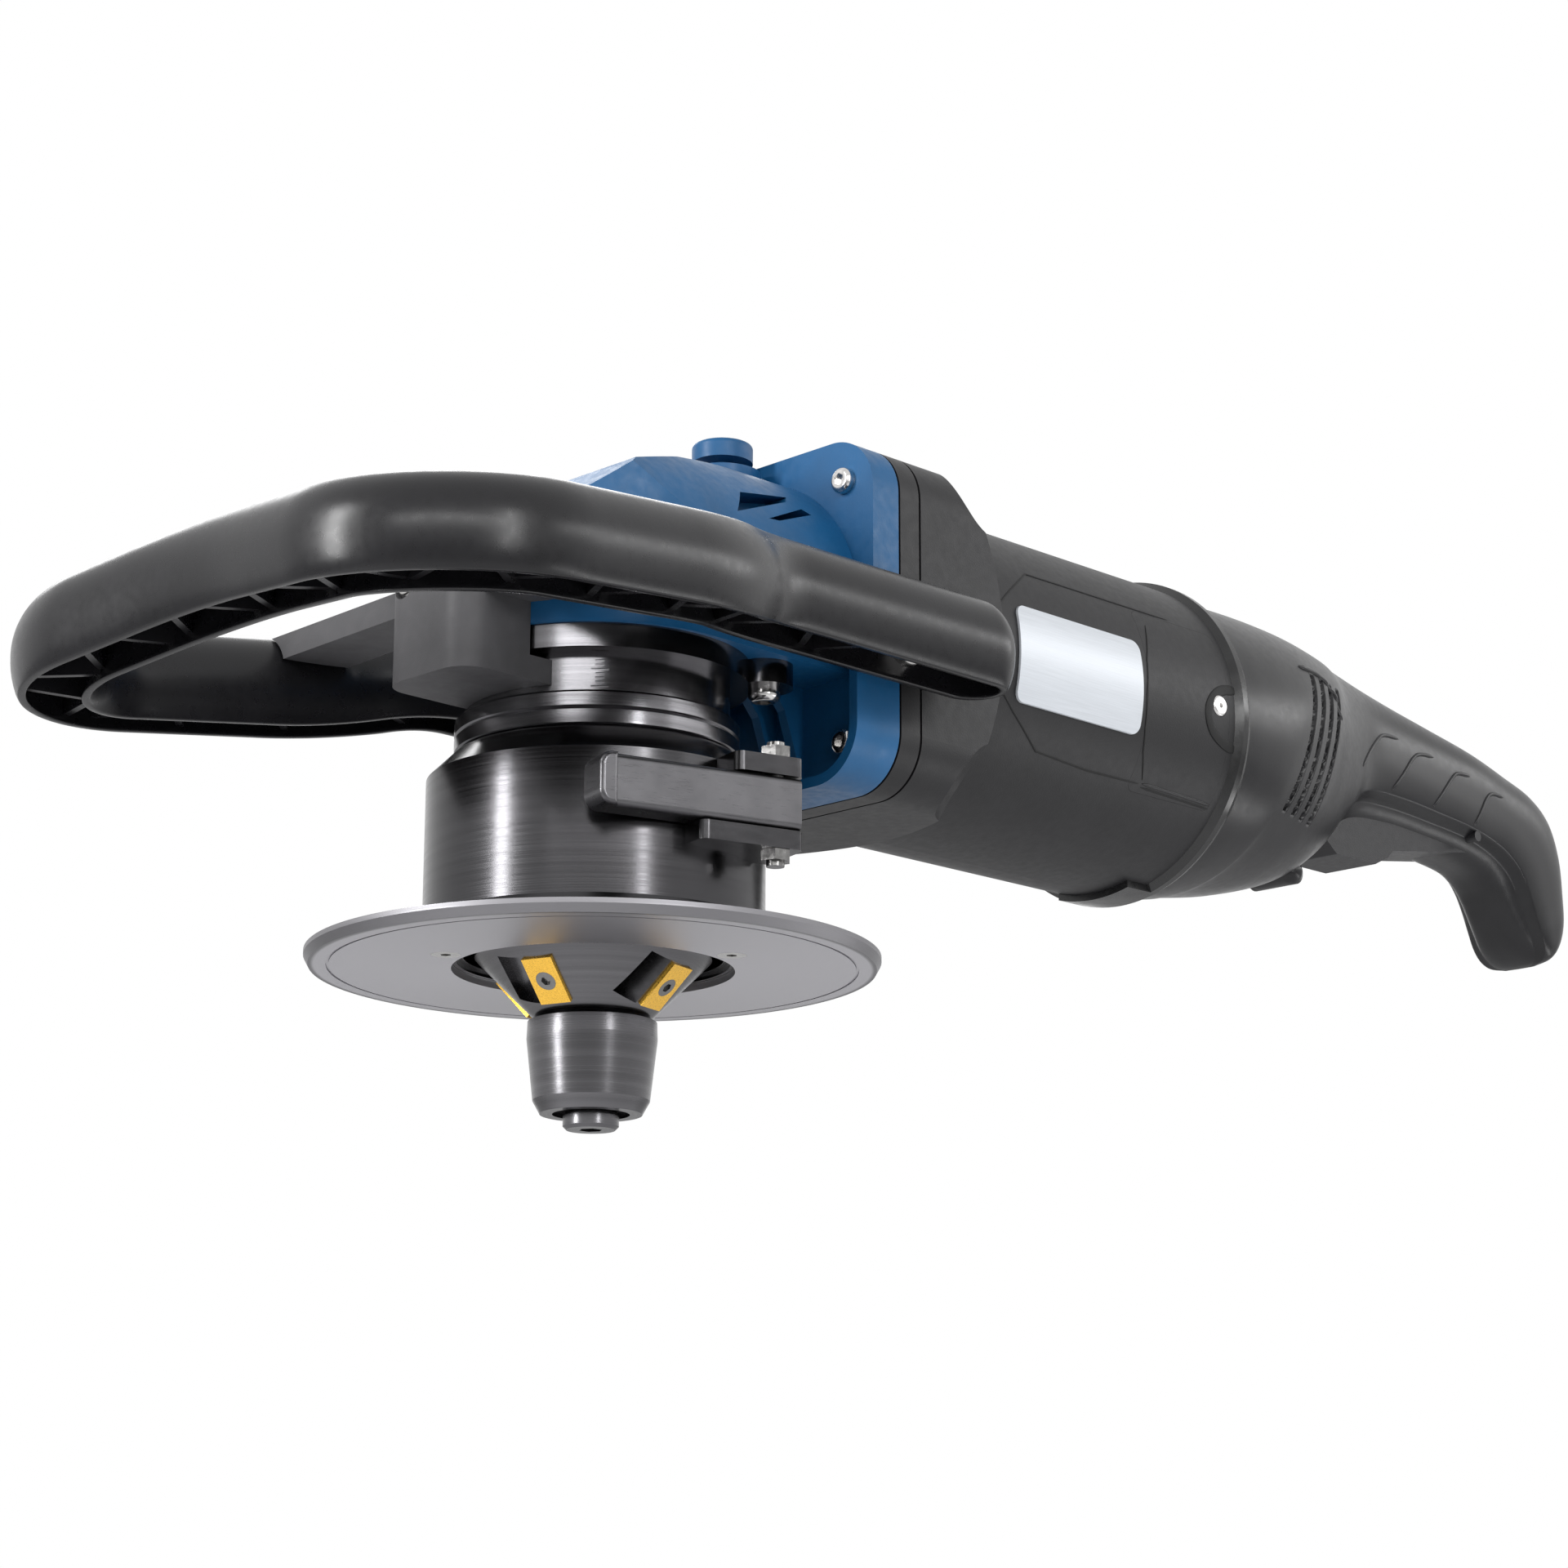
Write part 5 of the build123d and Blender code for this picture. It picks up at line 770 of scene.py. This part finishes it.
def grained_plastic(name, tone, sizes, roughness, depth=0.06 * MM, coarse=14 * MM):
    """Moulded plastic: eroded grain in the bump and patchy sheen."""
    finish = Finish(name, tone, roughness)
    finish.vary_tone(finish.mottle(coarse, 5.0), tone, 0.85, 1.18)
    finish.vary_roughness(finish.mottle(coarse / 5, 3.0), roughness - 0.02, roughness + 0.04)
    finish.raise_surface(finish.mottle(sizes.grain_size, 2.5), depth, 0.6)
    finish.shader.inputs["Specular IOR Level"].default_value = 0.32
    return finish


def turned_steel(name, tone, sizes, axis="Z", centre=(0, 0, 0), rough=(0.14, 0.26)):
    """Turned steel: rings round an axis in the bump, the gloss and the tone."""
    finish = Finish(name, tone, 0.26, 1.0)
    rings = finish.turning_marks(axis, sizes.turning_pitch, centre)
    bands = finish.turning_marks(axis, 2.4 * MM, centre)
    finish.vary_tone(bands, tone, 0.86, 1.16)
    finish.vary_roughness(rings, *rough)
    finish.raise_surface(rings, 0.010 * MM, 0.5)
    finish.shader.inputs["Anisotropic"].default_value = 0.45
    return finish


def faced_plate(tone, sizes):
    """Guide plate: pale where it was faced, darker on its rolled rim."""
    finish = turned_steel("faced_plate", tone, sizes, rough=(0.34, 0.48))
    radius = finish.round_about("Z")[0]
    rim = finish.spread(radius, 0, 1, PLATE_RIM_R - PLATE_RIM_EDGE, PLATE_RIM_R)
    finish.vary_colour(rim, darker(tone, 7.8), darker(tone, 3.2))
    return finish


def ground_steel(name, tone, stretch=(14, 14, 0.6), rough=(0.26, 0.40)):
    """Ground steel: fine scratches along one direction."""
    finish = Finish(name, tone, 0.3, 1.0)
    scratches = finish.mottle(0.35 * MM, 3.0, stretch=stretch)
    finish.vary_tone(finish.mottle(9 * MM, 3.0), tone, 0.88, 1.12)
    finish.vary_roughness(scratches, *rough)
    finish.raise_surface(scratches, 0.012 * MM, 0.4)
    return finish


def bright_metal(name, tone, roughness=0.16):
    """Plated or polished metal with faint smears."""
    finish = Finish(name, tone, roughness, 1.0)
    smears = finish.mottle(1.6 * MM, 3.0)
    finish.vary_tone(smears, tone, 0.9, 1.08)
    finish.vary_roughness(smears, roughness - 0.05, roughness + 0.12)
    return finish


def stacked_sheet(tone):
    """Laminations: thin sheets across the motor axis."""
    finish = Finish("stacked_sheet", tone, 0.5, 0.8)
    sheets = finish.mottle(0.5 * MM, 1.0, stretch=(1, 60, 60))
    finish.vary_tone(sheets, tone, 0.6, 1.3)
    finish.raise_surface(sheets, 0.08 * MM, 0.6)
    return finish


def wound_wire(tone):
    """Enamelled winding: fine turns across the motor axis."""
    finish = Finish("wound_wire", tone, 0.32, 0.7)
    radius, along = finish.round_about("X", (0, 0, MOTOR_Z))
    wave = finish.arithmetic("SINE", finish.arithmetic("MULTIPLY", radius, 2 * np.pi / (0.9 * MM)))
    finish.vary_colour(finish.spread(wave, 0, 1, -1, 1), darker(tone, 0.5), darker(tone, 1.2))
    finish.raise_surface(finish.spread(wave, 0, 1, -1, 1), 0.2 * MM, 0.7)
    return finish


def glossy_rubber(tone):
    """Soft black rubber with a wet-looking sheen."""
    finish = Finish("damping_rubber", tone, 0.22)
    finish.vary_roughness(finish.mottle(6 * MM, 3.0), 0.16, 0.32)
    finish.raise_surface(finish.mottle(1.4 * MM, 2.0), 0.03 * MM, 0.4)
    finish.vary_tone(finish.mottle(8 * MM, 2.0), tone, 0.8, 1.4)
    return finish


def coated_carbide(tone):
    """Gold coating with fine speckle."""
    finish = Finish("coated_carbide", tone, 0.3, 0.75)
    speckle = finish.mottle(0.4 * MM, 3.0)
    finish.vary_tone(speckle, tone, 0.82, 1.15)
    finish.vary_roughness(speckle, 0.22, 0.42)
    finish.raise_surface(speckle, 0.02 * MM, 0.4)
    return finish


def plate_stock(tone):
    """Bare plate: pale satin metal with brushed lines along the motor."""
    finish = Finish("plate_stock", tone, 0.34, 0.15)
    lines = finish.mottle(0.25 * MM, 2.0, stretch=(60, 1, 1))
    finish.vary_tone(lines, tone, 0.95, 1.05)
    finish.vary_roughness(lines, 0.30, 0.42)
    finish.raise_surface(lines, 0.006 * MM, 0.4)
    return finish


def floor_paper(tone, glow):
    """White paper: faint blotches, and a glow that keeps the background white."""
    finish = Finish("floor_paper", tone, 0.7)
    blotches = finish.spread(finish.mottle(400 * MM, 2.0), 0, 1)
    low, high = ([c + step for c in tone] for step in (-FLOOR_SHADE, FLOOR_SHADE))
    finish.vary_colour(blotches, low, high)
    finish.shader.inputs["Emission Color"].default_value = (1, 1, 1, 1)
    finish.shader.inputs["Emission Strength"].default_value = glow
    return finish


# Operators


def settings(context):
    """The scene's colours and sizes."""
    return context.scene.edge_mill_colours, context.scene.edge_mill_sizes


class EDGEMILL_OT_castings(bpy.types.Operator):
    """Paint the gear housing and its button"""

    bl_idname = "edgemill.castings"
    bl_label = "Castings"

    def execute(self, context):
        paint = blue_paint(context.scene.edge_mill_colours)
        dress(paint, "gear_housing", "lock_button")
        return {"FINISHED"}


class EDGEMILL_OT_plastics(bpy.types.Operator):
    """Finish the moulded plastic and rubber"""

    bl_idname = "edgemill.plastics"
    bl_label = "Plastics"

    def execute(self, context):
        colours, sizes = settings(context)
        body = grained_plastic("body_plastic", colours.body_black, sizes, 0.46)
        dress(body, "motor_housing", "motor_shield", "side_cover_left", "side_cover_right")
        grip = grained_plastic("grip_plastic", colours.grip_black, sizes, 0.36, 0.020 * MM, 20 * MM)
        dress(grip, "rear_handle_left", "rear_handle_right", "bow_handle")
        bracket = grained_plastic("bracket_coat", colours.bracket_grey, sizes, 0.52)
        dress(bracket, "handle_bracket")
        inner = grained_plastic("inner_plastic", darker(colours.grip_black, 1.25), sizes, 0.44)
        dress(inner, "switch_paddle", "switch_block", "speed_control", "cord_inlet")
        dress(inner, "cooling_fan", "paddle_pin")
        dress(glossy_rubber(colours.rubber_black), "damping_ring")
        return {"FINISHED"}


class EDGEMILL_OT_steel(bpy.types.Operator):
    """Finish the turned, ground and plated steel"""

    bl_idname = "edgemill.steel"
    bl_label = "Steel"

    def execute(self, context):
        colours, sizes = settings(context)
        steel, bright = colours.dark_steel, colours.bright_steel
        dress(turned_steel("turned_neck", steel, sizes), "guide_barrel", "chip_ring")
        # Painted light: the collar gets the neck's dark steel made 2.4 times lighter, standing in
        # for the bright reflections that the bow handle's shade takes from it.
        collar_painted_light = turned_steel("collar_steel_painted_light", darker(steel, 2.4), sizes)
        dress(collar_painted_light, "neck_sleeve", "depth_ring", "bearing_flange")
        dress(faced_plate(steel, sizes), "guide_plate")
        cutter = turned_steel("turned_cutter", darker(steel, 2.0), sizes, rough=(0.18, 0.30))
        dress(cutter, "cutter_head", "pilot_roller", "spindle_shaft", "pilot_screw")
        dress(ground_steel("ground_lever", darker(steel, 2.0)), "clamp_lever")
        gears = ground_steel("gear_steel", darker(steel, 1.4))
        dress(gears, "crown_gear", "pinion", "lock_collar")
        shaft = turned_steel("turned_shaft", darker(steel, 1.4), sizes, "X", (0, 0, MOTOR_Z))
        dress(shaft, "armature_shaft")
        plated = bright_metal("plated_steel", bright)
        dress(plated, "guide_plate_screws", "bearing_flange_screws", "gear_housing_screws")
        dress(plated, "side_cover_screws", "rear_handle_screws", "bow_side_bolts")
        dress(plated, "bracket_screws", "lock_spring", "brush_springs")
        rings = bright_metal("bearing_steel", darker(bright, 0.85), 0.22)
        dress(rings, "spindle_lower_bearing", "spindle_upper_bearing", "pilot_bearings")
        dress(rings, "armature_front_bearing", "armature_rear_bearing")
        dress(bright_metal("blued_steel", darker(bright, 0.3)), "insert_screws", "lever_pin")
        dress(coated_carbide(colours.carbide_gold), "cutting_inserts")
        dress(plate_stock(colours.plate_silver), "rating_plate")
        return {"FINISHED"}


class EDGEMILL_OT_motor_inside(bpy.types.Operator):
    """Finish the motor's inside"""

    bl_idname = "edgemill.motor_inside"
    bl_label = "Motor inside"

    def execute(self, context):
        colours = context.scene.edge_mill_colours
        dress(stacked_sheet(darker(colours.dark_steel, 0.9)), "armature_core", "stator_core")
        dress(wound_wire(colours.copper), "armature_coils", "field_coils")
        dress(bright_metal("brass", colours.brass, 0.25), "commutator", "brush_holders")
        dress(bright_metal("pressed_carbon", colours.carbon, 0.5), "carbon_brushes")
        return {"FINISHED"}


class EDGEMILL_OT_lock_spring(bpy.types.Operator):
    """Coil spring that the lock button presses together"""

    bl_idname = "edgemill.lock_spring"
    bl_label = "Lock spring"

    def execute(self, context):
        low, high = (np.array(corner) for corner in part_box("lock_spring"))
        points, faces = coil(low, high, SPRING_WIRE * MM, SPRING_TURNS)
        finish = bright_metal("spring_wire", context.scene.edge_mill_colours.bright_steel)
        spring = surface("lock_coil", points, faces.tolist(), "machine", finish)
        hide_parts("lock_spring")
        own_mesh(spring)
        return {"FINISHED"}


class EDGEMILL_OT_rear_handle(bpy.types.Operator):
    """Rear handle with its slots, and the foot below it"""

    bl_idname = "edgemill.rear_handle"
    bl_label = "Rear handle"

    def execute(self, context):
        colours, sizes = settings(context)
        finish = grained_plastic("handle_plastic", colours.grip_black, sizes, 0.31, 0.02 * MM)
        shadow = grained_plastic("slot_shadow", darker(colours.rubber_black, 0.3), sizes, 0.7)
        points, faces, caps, shadowed = handle_skin(sizes)
        polygons = faces.tolist() + caps.tolist()
        handle = surface("rear_handle", points, polygons, "machine", finish)
        handle.data.materials.append(shadow.material)
        chosen = np.concatenate([shadowed, np.zeros(len(caps), bool)]).astype(np.int32)
        handle.data.polygons.foreach_set("material_index", chosen)
        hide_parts("rear_handle_left", "rear_handle_right")
        points, faces = handle_foot()
        surface("handle_foot", points, faces.tolist(), "machine", finish)
        return {"FINISHED"}


class EDGEMILL_OT_bow_handle(bpy.types.Operator):
    """Bow handle: its round-backed shell, the ribs in its channel and its bosses"""

    bl_idname = "edgemill.bow_handle"
    bl_label = "Bow handle"

    def execute(self, context):
        colours, sizes = settings(context)
        finish = grained_plastic("bow_plastic", colours.grip_black, sizes, 0.28, 0.010 * MM)
        points, faces = bow_shell()
        shell = surface("bow_shell", points, faces.tolist(), "machine", finish)
        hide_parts("bow_handle")
        points, faces = joined([bow_ribs(), bow_boss(-1), bow_boss(1)])
        surface("bow_ribs", points, faces.tolist(), "machine", finish, smooth=False)
        return {"FINISHED"}


class EDGEMILL_OT_grip_ridges(bpy.types.Operator):
    """Four hooked finger ridges on each flank of the grip, and the brow over the slots"""

    bl_idname = "edgemill.grip_ridges"
    bl_label = "Grip ridges"

    def execute(self, context):
        colours, sizes = settings(context)
        finish = grained_plastic("ridge_plastic", colours.grip_black, sizes, 0.32, 0.02 * MM)
        skin = handle_skin(sizes)[0]
        for side, word in SIDES:
            ridges = [grip_ridge(factor, line, side, skin, sizes) for factor, line in RIDGES]
            points, faces = joined(ridges)
            name = f"grip_ridges_{word}"
            surface(name, points, faces.tolist(), "machine", finish)
        return {"FINISHED"}


class EDGEMILL_OT_housing_seams(bpy.types.Operator):
    """Panel lines, cover edges and painted shade in the screw pockets on both sides of the motor
    housing
    """

    bl_idname = "edgemill.housing_seams"
    bl_label = "Housing seams"

    def execute(self, context):
        colours, sizes = settings(context)
        # The seams' dark finish serves the panel lines and the painted shade in the screw pockets.
        black = darker(colours.rubber_black, 0.5)
        dark = grained_plastic("seam_shadow", black, sizes, 0.6, 0.01 * MM)
        light = grained_plastic("ledge_plastic", colours.body_black, sizes, 0.3, 0.01 * MM)
        ledge = straight_path(LEDGE_LINE, LEDGE_STEPS)
        for side, word in SIDES:
            points, faces = panel_seams(side, sizes)
            name = f"housing_seams_{word}"
            surface(name, points, faces.tolist(), "machine", dark)
            points, faces = motor_bead(ledge, side, sizes, LEDGE_WIDER, LEDGE_HIGHER)
            surface(f"cover_ledge_{word}", points, faces.tolist(), "machine", light)
        return {"FINISHED"}


class EDGEMILL_OT_studio(bpy.types.Operator):
    """Pale floor, white surroundings and soft lamps"""

    bl_idname = "edgemill.studio"
    bl_label = "Studio"

    def execute(self, context):
        studio = context.scene.edge_mill_studio
        colours = context.scene.edge_mill_colours
        floor = studio_floor(studio, floor_paper(colours.floor_pale, studio.floor_glow))
        self.light_surroundings(context, studio)
        for *shape, power in LAMPS[:studio.lamp_count]:
            area_lamp(*shape, power * studio.lamp_power)
        context.scene.view_settings.view_transform = "Standard"
        return {"FINISHED"}

    def light_surroundings(self, context, studio):
        """World: plain sky light on the machine, white where it is looked at or mirrored."""
        world = bpy.data.worlds.new("studio_world")
        context.scene.world = world
        world.use_nodes = True
        tree = world.node_tree
        backdrop = tree.nodes["Background"]
        path = tree.nodes.new("ShaderNodeLightPath")
        seen = path.outputs["Is Camera Ray"]
        for name in ("Is Glossy Ray", "Is Transmission Ray"):
            either = tree.nodes.new("ShaderNodeMath")
            either.operation = "MAXIMUM"
            tree.links.new(seen, either.inputs[0])
            tree.links.new(path.outputs[name], either.inputs[1])
            seen = either.outputs["Value"]
        level = tree.nodes.new("ShaderNodeMapRange")
        level.inputs["To Min"].default_value = studio.sky_level
        level.inputs["To Max"].default_value = 1.0
        tree.links.new(seen, level.inputs["Value"])
        tree.links.new(level.outputs["Result"], backdrop.inputs["Strength"])
        backdrop.inputs["Color"].default_value = (1, 1, 1, 1)


class EDGEMILL_OT_camera(bpy.types.Operator):
    """Camera low in front of the machine, looking up along it"""

    bl_idname = "edgemill.camera"
    bl_label = "Camera"

    def execute(self, context):
        lens = bpy.data.cameras.new("camera")
        lens.lens = context.scene.edge_mill_studio.lens
        lens.sensor_width = SENSOR_WIDTH
        lens.clip_start = 10 * MM
        camera = bpy.data.objects.new("camera", lens)
        context.scene.collection.objects.link(camera)
        turned = Matrix((CAMERA_RIGHT, CAMERA_UP, CAMERA_BACK)).transposed().to_4x4()
        camera.matrix_world = Matrix.Translation(CAMERA_PLACE) @ turned
        context.scene.camera = camera
        return {"FINISHED"}


STEPS = (
    EDGEMILL_OT_castings,
    EDGEMILL_OT_plastics,
    EDGEMILL_OT_steel,
    EDGEMILL_OT_motor_inside,
    EDGEMILL_OT_lock_spring,
    EDGEMILL_OT_rear_handle,
    EDGEMILL_OT_bow_handle,
    EDGEMILL_OT_grip_ridges,
    EDGEMILL_OT_housing_seams,
    EDGEMILL_OT_studio,
    EDGEMILL_OT_camera,
)


class EDGEMILL_PT_steps(bpy.types.Panel):
    """Steps and settings of the edge milling machine"""

    bl_idname = "EDGEMILL_PT_steps"
    bl_label = "Edge mill"
    bl_space_type = "VIEW_3D"
    bl_region_type = "UI"
    bl_category = "Edge mill"

    def draw(self, context):
        column = self.layout.column()
        for step in STEPS:
            column.operator(step.bl_idname)
        scene = context.scene
        for group in (scene.edge_mill_colours, scene.edge_mill_sizes, scene.edge_mill_studio):
            box = self.layout.box()
            for key in group.bl_rna.properties.keys():
                if key not in ("rna_type", "name"):
                    box.prop(group, key)


CLASSES = (EdgeMillColours, EdgeMillSizes, EdgeMillStudio, *STEPS, EDGEMILL_PT_steps)


def register():
    """Registers the classes and hangs the settings on the scene."""
    for item in CLASSES:
        bpy.utils.register_class(item)
    bpy.types.Scene.edge_mill_colours = PointerProperty(type=EdgeMillColours)
    bpy.types.Scene.edge_mill_sizes = PointerProperty(type=EdgeMillSizes)
    bpy.types.Scene.edge_mill_studio = PointerProperty(type=EdgeMillStudio)


def unregister():
    """Removes what register added."""
    del bpy.types.Scene.edge_mill_studio
    del bpy.types.Scene.edge_mill_sizes
    del bpy.types.Scene.edge_mill_colours
    for item in reversed(CLASSES):
        bpy.utils.unregister_class(item)


def main():
    """Runs every step in order."""
    register()
    bpy.ops.edgemill.castings()
    bpy.ops.edgemill.plastics()
    bpy.ops.edgemill.steel()
    bpy.ops.edgemill.motor_inside()
    bpy.ops.edgemill.lock_spring()
    bpy.ops.edgemill.rear_handle()
    bpy.ops.edgemill.bow_handle()
    bpy.ops.edgemill.grip_ridges()
    bpy.ops.edgemill.housing_seams()
    bpy.ops.edgemill.studio()
    bpy.ops.edgemill.camera()


if __name__ == "__main__":
    main()
